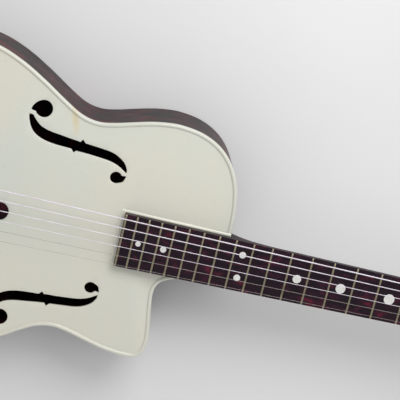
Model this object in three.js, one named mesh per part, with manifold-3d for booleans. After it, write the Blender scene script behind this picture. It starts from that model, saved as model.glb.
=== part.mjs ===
// An acoustic archtop guitar moulded in plastic, with one cutaway and two f-holes.
// The origin is on the flat of the back, straight below the saddle. +X runs along the neck,
// +Y points to the bass side and +Z comes out of the top. Sizes are in millimetres.

import * as THREE from 'three';
import { mergeVertices } from 'three/addons/utils/BufferGeometryUtils.js';
import Module from 'manifold-3d';

const wasm = await Module();
wasm.setup();

// Clearances
const seatGap = 0.3;
const runningGap = 0.3;
const cutOverrun = 2;

// Facets of round pieces and steps of curves
const curveSteps = 2;
const pinSides = 12;
const studSides = 10;
const endPinSides = 16;
const buttonSides = 24;
const postHoleSides = 6;

// Body plan
const scaleLength = 641;
const saddleToTail = 160;
const tailPower = 0.93;
const saddleToNeckJoint = 315;
const lowerBoutWidth = 346.6;
const lowerBoutAt = 5;
const waistWidth = 229.8;
const waistAt = 153;
const upperBoutWidth = 261.6;
const upperBoutAt = 236;
const hornReach = 20.2;
const cutawayRootAt = 285;
const neckSeatWidth = 54;

// Body section
const rimDepth = 74;
const wallThickness = 3;
const rimSetback = 0.4;
const topThickness = 3;
const topArch = 5;
const beadWidth = 4.8;
const beadHeight = 3;
const grooveWidth = 1.8;
const grooveHeight = 1.3;
const backThickness = 3;
const backArch = 5;
const backEdgeHeight = 2.2;
const backEdgeRound = 1.6;
const spineFrom = -20;
const spineTo = 205;

// Inside the body
const neckBlockLength = 50;
const neckBlockWidth = 46;
const tailBlockLength = 18;
const tailBlockWidth = 60;
const toneBarFrom = -95;
const toneBarTo = 195;
const toneBarSpread = 64;
const toneBarWidth = 8;
const toneBarHeight = 14;
const backBraceAt = 60;
const backBraceLength = 220;
const backBraceWidth = 10;
const backBraceHeight = 12;

// F-holes and centre button
const fHoleLength = 112;
const fHoleAt = 137.4;
const fHoleSpread = 169.6;
const largeEyeRadius = 9.1;
const smallEyeRadius = 6.3;
const buttonAt = 72.7;
const buttonRadius = 9.3;
const buttonRise = 2.4;
const buttonEdge = 0.8;
const buttonStemRadius = 3;
const buttonStemLength = 9;

// Fingerboard and frets
const fretCount = 20;
const nutWidth = 47.6;
const boardEndWidth = 57.6;
const boardBeyondFret = 1.5;
const boardThickness = 5.5;
const padRise = 1.7;
const padBeyondBoard = 4.8;
const padBesideBoard = 2;
const padCorner = 3;
const fretWidth = 2.2;
const fretHeight = 1;
const fretInset = 0.3;
const tangWidth = 0.6;
const tangDepth = 1.6;
const slotGap = 0.15;

// Neck, nut and headstock. The tongue is the neck's own end, between the top and the fingerboard.
const tongueThickness = 3;
const neckDepthAtNut = 14;
const neckDepthAtMiddle = 15.5;
const neckDepthAtBody = 17;
const heelDepth = 70;
const heelLength = 46;
const heelWidth = 54;
const nutLength = 5;
const nutRise = 1.2;
const nutSlotFall = 0.5;
const headTilt = THREE.MathUtils.degToRad(14);
const headLength = 160;
const headWidth = 76;
const headThickness = 13;
const headBlend = 10;
const headFaceThickness = 1.5;
const headFaceInset = 0.8;
const headFaceStart = 3;

// Strings, from the bass side to the treble side
const stringDiameters = [1.35, 1.07, 0.81, 0.61, 0.41, 0.3];
const spreadAtNut = 38.9;
const spreadAtSaddle = 55.3;
const heightAtNut = 0.6;
const heightAtSaddle = 8;
const windingPitchGap = 0.75;
const windingTurns = 2.5;
const windingBase = 2.6;
const ballRadius = 1.9;
const ballLength = 3.4;

// Bridge
const bridgeBaseLength = 116;
const bridgeBaseWidth = 22;
const bridgeBaseHeight = 6.5;
const bridgeTravel = 1.8;
const studSpread = 62;
const studRadius = 1.9;
const studIntoSaddle = 3;
const wheelRadius = 8;
const wheelThickness = 2.2;
const wheelKnurl = 0.6;
const saddleLength = 84;
const saddleWidth = 9;
const saddleCrestWidth = 3.2;
const saddleAboveStringFoot = 0.5;
const saddleShoulderShare = 0.35;

// Tailpiece and end pin
const tailBarAt = -64;
const tailBarDepth = 5;
const tailBarRise = 5.5;
const tailFrameWidth = 66;
const tailTabWidth = 30;
const tailLegWidth = 7;
const tailPlateThickness = 1.6;
const tailClearance = 4;
const knuckleRadius = 3;
const knuckleLength = 12;
const hingePinRadius = 1.2;
const bracketHeight = 52;
const bracketThickness = 1.8;
const endPinHeadRadius = 7;
const endPinNeckRadius = 4.2;
const endPinLength = 15;
const endPinStemRadius = 2.5;
const endPinStemLength = 17;

// Tuning machine
const postPlaces = [38, 76, 114];
const postSpread = 44;
const postRadius = 3;
const postHeight = 14;
const postWaist = 0.4;
const postHoleRadius = 0.9;
const gearTeeth = 14;
const gearPitchRadius = 6;
const gearAddendum = 0.6;
const gearDedendum = 0.85;
const gearThickness = 2.4;
const gearTipWidth = 0.7;
const gearRootWidth = 1.6;
const wormPitchRadius = 3;
const wormCoreRadius = 2;
const wormCrestRadius = 3.5;
const wormCrestWidth = 0.6;
const wormRootWidth = 1.3;
const wormLength = 7.4;
const tunerPlateWidth = 16;
const tunerPlateThickness = 1.2;
const tunerPlateMargin = 15;
const lugOffset = 6;
const lugThickness = 1.4;
const lugWidth = 6.4;
const lugBeyondShaft = 2.6;
const keyShaftRadius = 1.5;
const keyReach = 24;
const keyButtonLength = 15;
const keyButtonWidth = 17;
const keyButtonThickness = 6;
const keyCollarRadius = 2.8;
const keyCollarLength = 3;
const keyCollarOverlap = 2.1;

// Levels, counted up from the flat of the back
const backRimLevel = backArch;
const topRimLevel = backRimLevel + rimDepth;
const topLevel = topRimLevel + topArch;
const padLevel = topLevel + padRise;
const tongueFoot = padLevel + seatGap;
const neckTop = tongueFoot + tongueThickness;
const boardFoot = neckTop + seatGap;
const boardLevel = boardFoot + boardThickness;
const fretLevel = boardLevel + fretHeight;

// Helpers for solids

const xAxis = new THREE.Vector3(1, 0, 0);
const yAxis = new THREE.Vector3(0, 1, 0);
const zAxis = new THREE.Vector3(0, 0, 1);
const turnToX = new THREE.Matrix4().makeBasis(yAxis, zAxis, xAxis);
const turnToY = new THREE.Matrix4().makeBasis(zAxis, xAxis, yAxis);

const vec2 = (x, y) => new THREE.Vector2(x, y);
const vec3 = (x, y, z) => new THREE.Vector3(x, y, z);
const lerp = THREE.MathUtils.lerp;

// A closed geometry as a manifold solid.
function solid(geometry) {
  geometry.deleteAttribute('normal');
  geometry.deleteAttribute('uv');
  const merged = mergeVertices(geometry);
  return new wasm.Manifold(
    new wasm.Mesh({
      numProp: 3,
      vertProperties: merged.attributes.position.array,
      triVerts: new Uint32Array(merged.index.array),
    }),
  );
}

// A manifold solid as a geometry.
function geometryOf(body) {
  const mesh = body.getMesh();
  const geometry = new THREE.BufferGeometry();
  geometry.setAttribute('position', new THREE.BufferAttribute(mesh.vertProperties, 3));
  geometry.setIndex(new THREE.BufferAttribute(mesh.triVerts, 1));
  geometry.computeVertexNormals();
  return geometry;
}

// Triangles that close one ring of a loft. A ring without a flattening is convex.
function capOf(ring, flatten) {
  if (!flatten) return ring.slice(2).map((point, i) => [0, i + 1, i + 2]);
  const contour = ring.map(flatten);
  const faces = THREE.ShapeUtils.triangulateShape(contour, []);
  return THREE.ShapeUtils.isClockWise(contour) ? faces.map(([a, b, c]) => [c, b, a]) : faces;
}

// A skin over rings with the same number of points, closed at both ends.
function loft(rings, flatten) {
  const count = rings[0].length;
  const triangles = [];
  for (let start = 0; start < (rings.length - 1) * count; start += count) {
    for (let i = 0; i < count; i++) {
      const here = start + i;
      const next = start + ((i + 1) % count);
      triangles.push(here, next, next + count, here, next + count, here + count);
    }
  }
  const last = (rings.length - 1) * count;
  for (const [a, b, c] of capOf(rings[0], flatten)) triangles.push(c, b, a);
  for (const [a, b, c] of capOf(rings.at(-1), flatten)) triangles.push(last + a, last + b, last + c);
  const geometry = new THREE.BufferGeometry();
  const places = rings.flat().flatMap((point) => point.toArray());
  geometry.setAttribute('position', new THREE.Float32BufferAttribute(places, 3));
  geometry.setIndex(triangles);
  return solid(geometry);
}

// An outline drawn out along +Z, then turned and moved. Holes are outlines too.
function extruded(points, from, to, turn, place, holes = []) {
  const shape = new THREE.Shape(points);
  shape.holes = holes.map((hole) => new THREE.Path(hole));
  const geometry = new THREE.ExtrudeGeometry(shape, { depth: to - from, bevelEnabled: false });
  geometry.translate(0, 0, from);
  if (turn) geometry.applyMatrix4(turn);
  if (place) geometry.translate(place.x, place.y, place.z);
  return solid(geometry);
}

// A round rod along +Z, then turned and moved.
function rod(radius, sides, from, to, turn, place) {
  const geometry = new THREE.CylinderGeometry(radius, radius, to - from, sides);
  geometry.rotateX(Math.PI / 2);
  geometry.translate(0, 0, (from + to) / 2);
  if (turn) geometry.applyMatrix4(turn);
  if (place) geometry.translate(place.x, place.y, place.z);
  return solid(geometry);
}

// A block between two corners.
function block(low, high) {
  const size = high.clone().sub(low);
  const middle = high.clone().add(low).multiplyScalar(0.5);
  const geometry = new THREE.BoxGeometry(size.x, size.y, size.z);
  geometry.translate(middle.x, middle.y, middle.z);
  return solid(geometry);
}

// A piece turned about an axis of its own: profile points are radius and height.
function lathed(profile, sides, turn, place) {
  const geometry = new THREE.LatheGeometry(profile, sides);
  geometry.rotateX(Math.PI / 2);
  if (turn) geometry.applyMatrix4(turn);
  if (place) geometry.translate(place.x, place.y, place.z);
  return solid(geometry);
}

// A tube through points, with its own radius at each point.
function tube(points, radii, sides) {
  const rings = [];
  const side = vec3(0, 1, 0);
  points.forEach((point, i) => {
    const before = points[Math.max(i - 1, 0)];
    const after = points[Math.min(i + 1, points.length - 1)];
    const along = after.clone().sub(before).normalize();
    side.addScaledVector(along, -side.dot(along)).normalize();
    const up = along.clone().cross(side);
    const ring = [];
    for (let k = 0; k < sides; k++) {
      const angle = (2 * Math.PI * k) / sides;
      const out = side.clone().multiplyScalar(Math.cos(angle)).addScaledVector(up, Math.sin(angle));
      ring.push(point.clone().addScaledVector(out, radii[i]));
    }
    rings.push(ring);
  });
  return loft(rings);
}

// Points along and across shares of the way from one place to another.
function between(from, to, shares) {
  return shares.map(([along, across]) => vec2(lerp(from.x, to.x, along), lerp(from.y, to.y, across)));
}

// A smooth line through points, with a few steps from each to the next.
function smooth(points, steps) {
  return new THREE.SplineCurve(points).getPoints((points.length - 1) * steps);
}

// Body

const tailArcShares = [0, 0.22, 0.44, 0.66, 0.84];
const waistSlopeShares = [[0.22, 0.074], [0.4, 0.24], [0.58, 0.49], [0.75, 0.762], [0.88, 0.942]];
const upperRiseShares = [[0.205, 0.171], [0.416, 0.475], [0.627, 0.766], [0.813, 0.937]];
const shoulderShares = [
  [0.259, 0.024], [0.475, 0.083], [0.658, 0.177], [0.806, 0.31], [0.906, 0.466], [0.962, 0.629],
  [0.992, 0.798],
];
// The horn and the cutaway: along in shares of the horn's reach, across in shares of the upper bout.
const hornShares = [
  [0.52, 0.99], [0.84, 0.943], [0.975, 0.875], [1, 0.8], [0.916, 0.69], [0.777, 0.56], [0.678, 0.44],
  [0.688, 0.384], [0.752, 0.348], [0.9, 0.312], [1.1, 0.29], [1.36, 0.272],
];

// One side from the tail to its upper bout, as plan points.
function plainSide(side) {
  const lower = vec2(lowerBoutAt, (side * lowerBoutWidth) / 2);
  const waist = vec2(waistAt, (side * waistWidth) / 2);
  const upper = vec2(upperBoutAt, (side * upperBoutWidth) / 2);
  const tailArc = tailArcShares.map((share) => {
    const angle = (share * Math.PI) / 2;
    const back = Math.cos(angle) ** tailPower;
    const out = Math.sin(angle) ** tailPower;
    return vec2(lower.x - (lower.x + saddleToTail) * back, lower.y * out);
  });
  return [
    ...tailArc,
    lower,
    ...between(lower, waist, waistSlopeShares),
    waist,
    ...between(waist, upper, upperRiseShares),
    upper,
  ];
}

// The outline of the body, anticlockwise from the bass corner of the neck seat.
function bodyOutline() {
  const bassCorner = vec2(saddleToNeckJoint, neckSeatWidth / 2);
  const trebleCorner = vec2(saddleToNeckJoint, -neckSeatWidth / 2);
  const bass = plainSide(1);
  const shoulder = between(bass.at(-1), bassCorner, shoulderShares);
  const treble = plainSide(-1);
  const horn = hornShares.map(([along, across]) =>
    vec2(upperBoutAt + along * hornReach, (-across * upperBoutWidth) / 2),
  );
  const root = vec2(cutawayRootAt, -neckSeatWidth / 2);
  const round = [bassCorner, ...shoulder.reverse(), ...bass.reverse(), ...treble.slice(1), ...horn, root];
  return [...smooth(round, curveSteps), trebleCorner];
}

// The same outline drawn inwards by a distance.
function inset(points, distance) {
  return points.map((point, i) => {
    const before = points.at(i - 1);
    const after = points[(i + 1) % points.length];
    const first = point.clone().sub(before).normalize();
    const second = after.clone().sub(point).normalize();
    const middle = vec2(-first.y - second.y, first.x + second.x).normalize();
    const reach = distance / middle.dot(vec2(-first.y, first.x));
    return point.clone().addScaledVector(middle, reach);
  });
}

// The same outline drawn in towards the body's spine by a share of the way.
function towardsSpine(points, share) {
  return points.map((point) => {
    const spine = vec2(THREE.MathUtils.clamp(point.x, spineFrom, spineTo), 0);
    return point.clone().lerp(spine, share);
  });
}

const atLevel = (points, level) => points.map((point) => vec3(point.x, point.y, level));
const inPlan = (point) => vec2(point.x, point.y);

const outline = bodyOutline();
const topArchShares = [0.16, 0.38, 0.66];
const plainArchShares = [0.24, 0.66];

// Rings of an arched skin, from its rim level at an outline to its flat.
function archRings(points, rimLevel, flatLevel, shares) {
  return shares.map((share) => {
    const rise = Math.sin(((share / shares.at(-1)) * Math.PI) / 2);
    return atLevel(towardsSpine(points, share), lerp(rimLevel, flatLevel, rise));
  });
}

// Rings under the top and over the back, at a clearance into the hollow.
function topInnerRings(clearance) {
  const wall = inset(outline, wallThickness + clearance);
  const rim = topRimLevel - clearance;
  const flat = topLevel - topThickness - clearance;
  return [atLevel(wall, rim), ...archRings(wall, rim, flat, plainArchShares)];
}

function backInnerRings(clearance) {
  const wall = inset(outline, wallThickness + clearance);
  const rim = backRimLevel + clearance;
  return [atLevel(wall, rim), ...archRings(wall, rim, backThickness + clearance, plainArchShares)];
}

// The hollow of the body as a solid, smaller by a clearance all round.
function hollow(clearance) {
  return loft([...backInnerRings(clearance).reverse(), ...topInnerRings(clearance)], inPlan);
}

const roomInside = hollow(seatGap);

// The half round bead: inset in shares of its width, level in shares of its height.
const beadShares = [[0, 0.55], [0.22, 0.9], [0.52, 1], [0.82, 0.82]];

function boardHalfAt(x) {
  return lerp(nutWidth, boardEndWidth, (scaleLength - x) / (scaleLength - boardEnd)) / 2;
}

const fretAt = (number) => scaleLength * 2 ** (-number / 12);
const boardEnd = fretAt(fretCount) - boardBeyondFret;

// The raised pad under the end of the fingerboard, kept on the body.
function boardPad() {
  const end = boardEnd - padBeyondBoard;
  const halfAtEnd = boardHalfAt(end) + padBesideBoard;
  const halfAtJoint = boardHalfAt(saddleToNeckJoint) + padBesideBoard;
  const plan = [
    vec2(saddleToNeckJoint, -halfAtJoint),
    vec2(saddleToNeckJoint, halfAtJoint),
    vec2(end + padCorner, halfAtEnd),
    vec2(end, halfAtEnd - padCorner),
    vec2(end, -halfAtEnd + padCorner),
    vec2(end + padCorner, -halfAtEnd),
  ];
  const onBody = extruded(inset(outline, rimSetback), topRimLevel + grooveHeight / 2, padLevel);
  const blank = extruded(plan, topRimLevel, padLevel + cutOverrun);
  return blank.intersect(onBody).subtract(hollow(-topThickness / 2));
}

// F-hole outlines in shares of the f-hole's length, counted from the middle between its nicks.
// Across is positive towards the rim.
const stemInnerShares = [
  [-0.498, 0.204], [-0.493, 0.162], [-0.463, 0.089], [-0.416, 0.034], [-0.337, -0.006], [-0.225, -0.028],
  [-0.058, -0.037],
];
const innerNickShares = [[-0.031, -0.067], [-0.012, -0.046]];
const stemLowerShares = [
  [0.104, -0.051], [0.22, -0.06], [0.324, -0.073], [0.403, -0.099], [0.462, -0.134], [0.489, -0.15],
];
const stemUpperShares = [
  [0.487, -0.117], [0.452, -0.058], [0.382, -0.008], [0.304, 0.019], [0.2, 0.031], [0.061, 0.043],
];
const outerNickShares = [[0.03, 0.073], [0.013, 0.046]];
const stemOuterShares = [
  [-0.063, 0.054], [-0.174, 0.069], [-0.284, 0.084], [-0.369, 0.112], [-0.424, 0.156], [-0.462, 0.199],
];
const largeEyeShare = [-0.378, 0.273];
const largeTailShares = [
  [-0.446, 0.326], [-0.47, 0.299], [-0.486, 0.268], [-0.491, 0.243], [-0.463, 0.234],
];
const smallEyeShare = [0.403, -0.207];
const smallTailShares = [[0.47, -0.237], [0.486, -0.203], [0.493, -0.174], [0.455, -0.179]];
const eyeSteps = 11;
const largeEyeArc = [-152, 125];
const smallEyeArc = [55, 295];

// The body's plan point for a share pair of one f-hole.
function fHolePoint([along, across], side) {
  return vec2(fHoleAt + along * fHoleLength, side * (fHoleSpread / 2 + across * fHoleLength));
}

// A round eye with a pointed tail. The arc runs between two angles in degrees, then the tail closes it.
function eyeOutline(centreShare, radius, [fromAngle, toAngle], tailShares, side) {
  const centre = fHolePoint(centreShare, side);
  const points = [];
  for (let i = 0; i <= eyeSteps; i++) {
    const angle = THREE.MathUtils.degToRad(lerp(fromAngle, toAngle, i / eyeSteps));
    points.push(vec2(centre.x + radius * Math.cos(angle), centre.y + side * radius * Math.sin(angle)));
  }
  return [...points, ...tailShares.map((share) => fHolePoint(share, side))];
}

function fHoleOutlines(side) {
  const place = (shares) => shares.map((share) => fHolePoint(share, side));
  const stem = [
    ...smooth(place(stemInnerShares), curveSteps),
    ...place(innerNickShares),
    ...smooth(place(stemLowerShares), curveSteps),
    ...smooth(place(stemUpperShares), curveSteps),
    ...place(outerNickShares),
    ...smooth(place(stemOuterShares), curveSteps),
  ];
  return [
    stem,
    eyeOutline(largeEyeShare, largeEyeRadius, largeEyeArc, largeTailShares, side),
    eyeOutline(smallEyeShare, smallEyeRadius, smallEyeArc, smallTailShares, side),
  ];
}

function topPlate() {
  const rim = topRimLevel + grooveHeight;
  const groove = inset(outline, beadWidth + grooveWidth);
  const bead = beadShares.map(([across, up]) =>
    atLevel(inset(outline, across * beadWidth), topRimLevel + up * beadHeight),
  );
  const rings = [
    ...topInnerRings(0).reverse(),
    atLevel(inset(outline, rimSetback), topRimLevel),
    ...bead,
    atLevel(inset(outline, beadWidth), rim),
    atLevel(groove, rim),
    ...archRings(groove, rim, topLevel, topArchShares),
  ];
  let plate = loft(rings, inPlan).add(boardPad());
  const low = topRimLevel - cutOverrun;
  const high = topLevel + cutOverrun;
  for (const side of [-1, 1]) {
    for (const hole of fHoleOutlines(side)) plate = plate.subtract(extruded(hole, low, high));
  }
  const stemHole = rod(buttonStemRadius + seatGap, pinSides, low, high, null, vec3(buttonAt, 0, 0));
  return plate.subtract(stemHole);
}

const endPinLevel = (backRimLevel + topRimLevel) / 2;

function rimSides() {
  const outer = inset(outline, rimSetback);
  const inner = inset(outline, wallThickness);
  const ring = extruded(outer, backRimLevel + seatGap, topRimLevel - seatGap, null, null, [inner]);
  const hole = rod(
    endPinStemRadius + seatGap,
    pinSides,
    -saddleToTail - cutOverrun,
    wallThickness + cutOverrun - saddleToTail,
    turnToX,
    vec3(0, 0, endPinLevel),
  );
  return ring.subtract(hole);
}

function backPlate() {
  const edge = backRimLevel - backEdgeHeight;
  const lowEdge = inset(outline, backEdgeRound);
  const rings = [
    ...archRings(lowEdge, edge, 0, plainArchShares).reverse(),
    atLevel(lowEdge, edge),
    atLevel(inset(outline, rimSetback), edge + backEdgeRound / 2),
    atLevel(inset(outline, rimSetback), backRimLevel),
    ...backInnerRings(0),
  ];
  return loft(rings, inPlan);
}

// A prism over a rectangle of the plan, cut to the hollow of the body.
function insideBlock(fromX, toX, fromY, toY, fromZ, toZ) {
  return block(vec3(fromX, fromY, fromZ), vec3(toX, toY, toZ)).intersect(roomInside);
}

function neckBlock() {
  const end = saddleToNeckJoint - wallThickness;
  return insideBlock(end - neckBlockLength, end, -neckBlockWidth / 2, neckBlockWidth / 2, 0, topLevel);
}

function tailBlock() {
  const start = wallThickness - saddleToTail;
  const end = start + tailBlockLength;
  const blank = insideBlock(start, end, -tailBlockWidth / 2, tailBlockWidth / 2, 0, topLevel);
  const low = start - cutOverrun;
  const high = end + cutOverrun;
  const place = vec3(0, 0, endPinLevel);
  return blank.subtract(rod(endPinStemRadius + seatGap, pinSides, low, high, turnToX, place));
}

function toneBar(side) {
  const middle = (side * toneBarSpread) / 2;
  const under = topLevel - topThickness - toneBarHeight;
  return insideBlock(
    toneBarFrom,
    toneBarTo,
    middle - toneBarWidth / 2,
    middle + toneBarWidth / 2,
    under,
    topLevel,
  );
}

function backBrace() {
  return insideBlock(
    backBraceAt - backBraceWidth / 2,
    backBraceAt + backBraceWidth / 2,
    -backBraceLength / 2,
    backBraceLength / 2,
    0,
    backThickness + backBraceHeight,
  );
}

function centreButton() {
  const foot = topLevel + seatGap;
  const crown = foot + buttonRise;
  const profile = [
    vec2(0, foot - buttonStemLength),
    vec2(buttonStemRadius, foot - buttonStemLength),
    vec2(buttonStemRadius, foot),
    vec2(buttonRadius, foot),
    vec2(buttonRadius, crown - buttonEdge),
    vec2(buttonRadius - buttonEdge, crown),
    vec2(0, crown),
  ];
  return lathed(profile, buttonSides, null, vec3(buttonAt, 0, 0));
}

// Neck

const neckHalfAt = (x) => boardHalfAt(x) - fretInset;
const headStart = scaleLength + nutLength + 2 * seatGap;
const headPlace = new THREE.Matrix4()
  .makeTranslation(headStart, 0, neckTop)
  .multiply(new THREE.Matrix4().makeRotationY(headTilt));
const neckRingSteps = 12;

// Half of a rounded section, flat on top: a low power makes it squarer.
function neckRing(halfWidth, depth, power) {
  const ring = [];
  for (let i = 0; i <= neckRingSteps; i++) {
    const angle = (Math.PI * i) / neckRingSteps;
    const across = -Math.sign(Math.cos(angle)) * Math.abs(Math.cos(angle)) ** power;
    const down = Math.max(Math.sin(angle), 0) ** power;
    ring.push(vec2(halfWidth * across, -depth * down));
  }
  return ring;
}

// The outline of the headstock: along in shares of its length, across in shares of half its width.
const headSideShares = [[0.03, 0.6], [0.07, 0.66], [0.13, 0.77], [0.21, 0.86], [0.5, 0.92], [0.82, 1]];
const headCrestShares = [[0.93, 0.97], [0.975, 0.8], [1, 0.45], [0.99, 0.2], [0.98, 0]];

function headOutline(distance, start) {
  const sideShares = [...headSideShares, ...headCrestShares];
  const corners = sideShares.map(([along, across]) => vec2(along * headLength, (across * headWidth) / 2));
  const bass = smooth(corners, curveSteps);
  const treble = bass.slice(0, -1).map((point) => vec2(point.x, -point.y));
  const whole = [...treble, ...bass.reverse()];
  return inset(whole, distance).map((point) => vec2(Math.max(point.x, start), point.y));
}

// Where the heel's depth and width stand: along in shares of its length, then in shares of the
// change from neck to heel.
const heelShares = [
  [0, 1, 1], [0.08, 0.86, 0.97], [0.22, 0.62, 0.9], [0.4, 0.36, 0.72], [0.65, 0.13, 0.4], [1, 0, 0],
];

// How round each section of the neck is: one is an ellipse, less is squarer.
const heelPower = 1;
const middlePower = 0.95;
const nutPower = 0.85;
const headStartPower = 0.7;
const headPower = 0.3;

// The neck's tongue over the body, under the end of the fingerboard.
function tongue(start) {
  const end = boardEnd + fretInset;
  const halfAtEnd = neckHalfAt(end);
  const halfAtStart = neckHalfAt(start);
  const plan = [
    vec2(end, -halfAtEnd),
    vec2(start, -halfAtStart),
    vec2(start, halfAtStart),
    vec2(end, halfAtEnd),
  ];
  return extruded(plan, tongueFoot, neckTop);
}

function neckSolid() {
  const start = saddleToNeckJoint + seatGap;
  const rings = [];
  const addRing = (x, half, depth, power) => {
    const ring = neckRing(half, depth, power);
    rings.push(ring.map((point) => vec3(x, point.x, neckTop + point.y)));
  };
  for (const [along, deep, wide] of heelShares) {
    const x = start + along * heelLength;
    const half = lerp(neckHalfAt(x), heelWidth / 2, wide);
    addRing(x, half, lerp(neckDepthAtBody, heelDepth, deep), heelPower);
  }
  const middle = (start + scaleLength) / 2;
  addRing(middle, neckHalfAt(middle), neckDepthAtMiddle, middlePower);
  addRing(scaleLength, neckHalfAt(scaleLength), neckDepthAtNut, nutPower);
  addRing(headStart, neckHalfAt(scaleLength), neckDepthAtNut, headStartPower);
  const inHead = neckRing((headSideShares[1][1] * headWidth) / 2, headThickness, headPower);
  rings.push(inHead.map((point) => vec3(headBlend, point.x, point.y).applyMatrix4(headPlace)));
  const shaft = loft(rings, (point) => vec2(point.y, point.z));
  const slab = extruded(headOutline(0, 0), -headThickness, 0, headPlace);
  let neck = shaft.add(slab).add(tongue(start + cutOverrun));
  for (const post of posts()) {
    const place = headPlace.clone().multiply(new THREE.Matrix4().makeTranslation(post.place));
    const low = -headThickness - cutOverrun;
    neck = neck.subtract(rod(postRadius + runningGap, postSides, low, cutOverrun, place));
  }
  return neck;
}

function headFace() {
  const plan = headOutline(headFaceInset, headFaceStart);
  let face = extruded(plan, seatGap, seatGap + headFaceThickness);
  for (const post of posts()) {
    const high = headFaceThickness + cutOverrun;
    face = face.subtract(rod(postRadius + runningGap, postSides, 0, high, null, post.place));
  }
  return face;
}

function fingerboard() {
  const plan = [
    vec2(boardEnd, -boardEndWidth / 2),
    vec2(scaleLength, -nutWidth / 2),
    vec2(scaleLength, nutWidth / 2),
    vec2(boardEnd, boardEndWidth / 2),
  ];
  let board = extruded(plan, boardFoot, boardLevel);
  const half = tangWidth / 2 + slotGap;
  const reach = boardEndWidth / 2 + cutOverrun;
  for (let number = 1; number <= fretCount; number++) {
    const x = fretAt(number);
    const low = vec3(x - half, -reach, boardLevel - tangDepth - slotGap);
    board = board.subtract(block(low, vec3(x + half, reach, boardLevel + cutOverrun)));
  }
  return board;
}

// A fret's section: along in shares of half its width, up in shares of its height.
const crownShares = [[1, 0], [0.86, 0.5], [0.45, 0.9], [-0.45, 0.9], [-0.86, 0.5], [-1, 0]];

function fret(number) {
  const x = fretAt(number);
  const foot = boardLevel + slotGap;
  const crown = crownShares.map(([along, up]) =>
    vec2(foot + up * (fretHeight - slotGap), x + (along * fretWidth) / 2),
  );
  const tang = [
    vec2(foot, x - tangWidth / 2),
    vec2(boardLevel - tangDepth, x - tangWidth / 2),
    vec2(boardLevel - tangDepth, x + tangWidth / 2),
    vec2(foot, x + tangWidth / 2),
  ];
  const half = boardHalfAt(x) - fretInset;
  return extruded([...crown, ...tang], -half, half, turnToY);
}

function nut() {
  const low = vec3(scaleLength + seatGap, -nutWidth / 2, boardFoot);
  const high = vec3(scaleLength + seatGap + nutLength, nutWidth / 2, fretLevel + heightAtNut + nutRise);
  let body = block(low, high);
  for (const string of strings()) {
    const half = string.radius + seatGap;
    const middle = string.atNut;
    const slotLow = vec3(low.x - cutOverrun, middle.y - half, middle.z - half - nutSlotFall);
    body = body.subtract(block(slotLow, vec3(high.x + cutOverrun, middle.y + half, high.z + cutOverrun)));
  }
  return body;
}

// Tuning machine, in the frame of the headstock

const wormPitch = (2 * Math.PI * gearPitchRadius) / gearTeeth;
const plateFoot = -headThickness - seatGap;
const plateBack = plateFoot - tunerPlateThickness;
const gearLevel = plateBack - runningGap - wormCrestRadius;
const postTop = seatGap + headFaceThickness + postHeight;
const centreDistance = gearPitchRadius + wormPitchRadius;
const postSides = 10;

// The six posts, numbered from the bass string to the treble string.
function posts() {
  const post = (along, side) => ({ side, place: vec3(along, (side * postSpread) / 2, 0) });
  const bass = postPlaces.map((along) => post(along, 1));
  const treble = [...postPlaces].reverse().map((along) => post(along, -1));
  return [...bass, ...treble];
}

function gearOutline() {
  const outer = gearPitchRadius + gearAddendum;
  const root = gearPitchRadius - gearDedendum;
  const points = [];
  for (let tooth = 0; tooth < gearTeeth; tooth++) {
    const middle = (2 * Math.PI * tooth) / gearTeeth;
    const corners = [
      [root, -gearRootWidth / 2],
      [outer, -gearTipWidth / 2],
      [outer, gearTipWidth / 2],
      [root, gearRootWidth / 2],
    ];
    for (const [radius, across] of corners) {
      const angle = middle + across / radius;
      points.push(vec2(radius * Math.cos(angle), radius * Math.sin(angle)));
    }
  }
  return points;
}

function tunerPost(post, string) {
  const low = gearLevel - gearThickness / 2;
  const gear = extruded(gearOutline(), low, gearLevel + gearThickness / 2, null, post.place);
  const holeLevel = string.windingTop;
  const profile = [
    vec2(0, low - runningGap),
    vec2(postRadius, low - runningGap),
    vec2(postRadius, string.windingFoot - windingPitchGap),
    vec2(postRadius - postWaist, string.windingFoot),
    vec2(postRadius - postWaist, holeLevel),
    vec2(postRadius, postTop - postWaist),
    vec2(postRadius - postWaist, postTop),
    vec2(0, postTop),
  ];
  const shaft = lathed(profile, postSides, null, post.place);
  const reach = postRadius + cutOverrun;
  const holePlace = vec3(post.place.x, post.place.y, holeLevel);
  return shaft.add(gear).subtract(rod(postHoleRadius, postHoleSides, -reach, reach, turnToX, holePlace));
}

// The thread of a worm along +Z, with a gap of the gear's tooth facing +X at its middle.
const threadStepsPerTurn = 7;

function wormThread() {
  const steps = Math.round((wormLength / wormPitch) * threadStepsPerTurn);
  const buried = wormCoreRadius - wormCrestWidth / 2;
  const rings = [];
  for (let i = 0; i <= steps; i++) {
    const along = lerp(-wormLength / 2, wormLength / 2, i / steps);
    const angle = 2 * Math.PI * (along / wormPitch - 0.5);
    const at = (radius, axial) => vec3(radius * Math.cos(angle), radius * Math.sin(angle), along + axial);
    rings.push([
      at(buried, wormRootWidth / 2),
      at(wormCrestRadius, wormCrestWidth / 2),
      at(wormCrestRadius, -wormCrestWidth / 2),
      at(buried, -wormRootWidth / 2),
    ]);
  }
  return loft(rings);
}

const shaftSides = 8;
const buttonSteps = 12;

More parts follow.
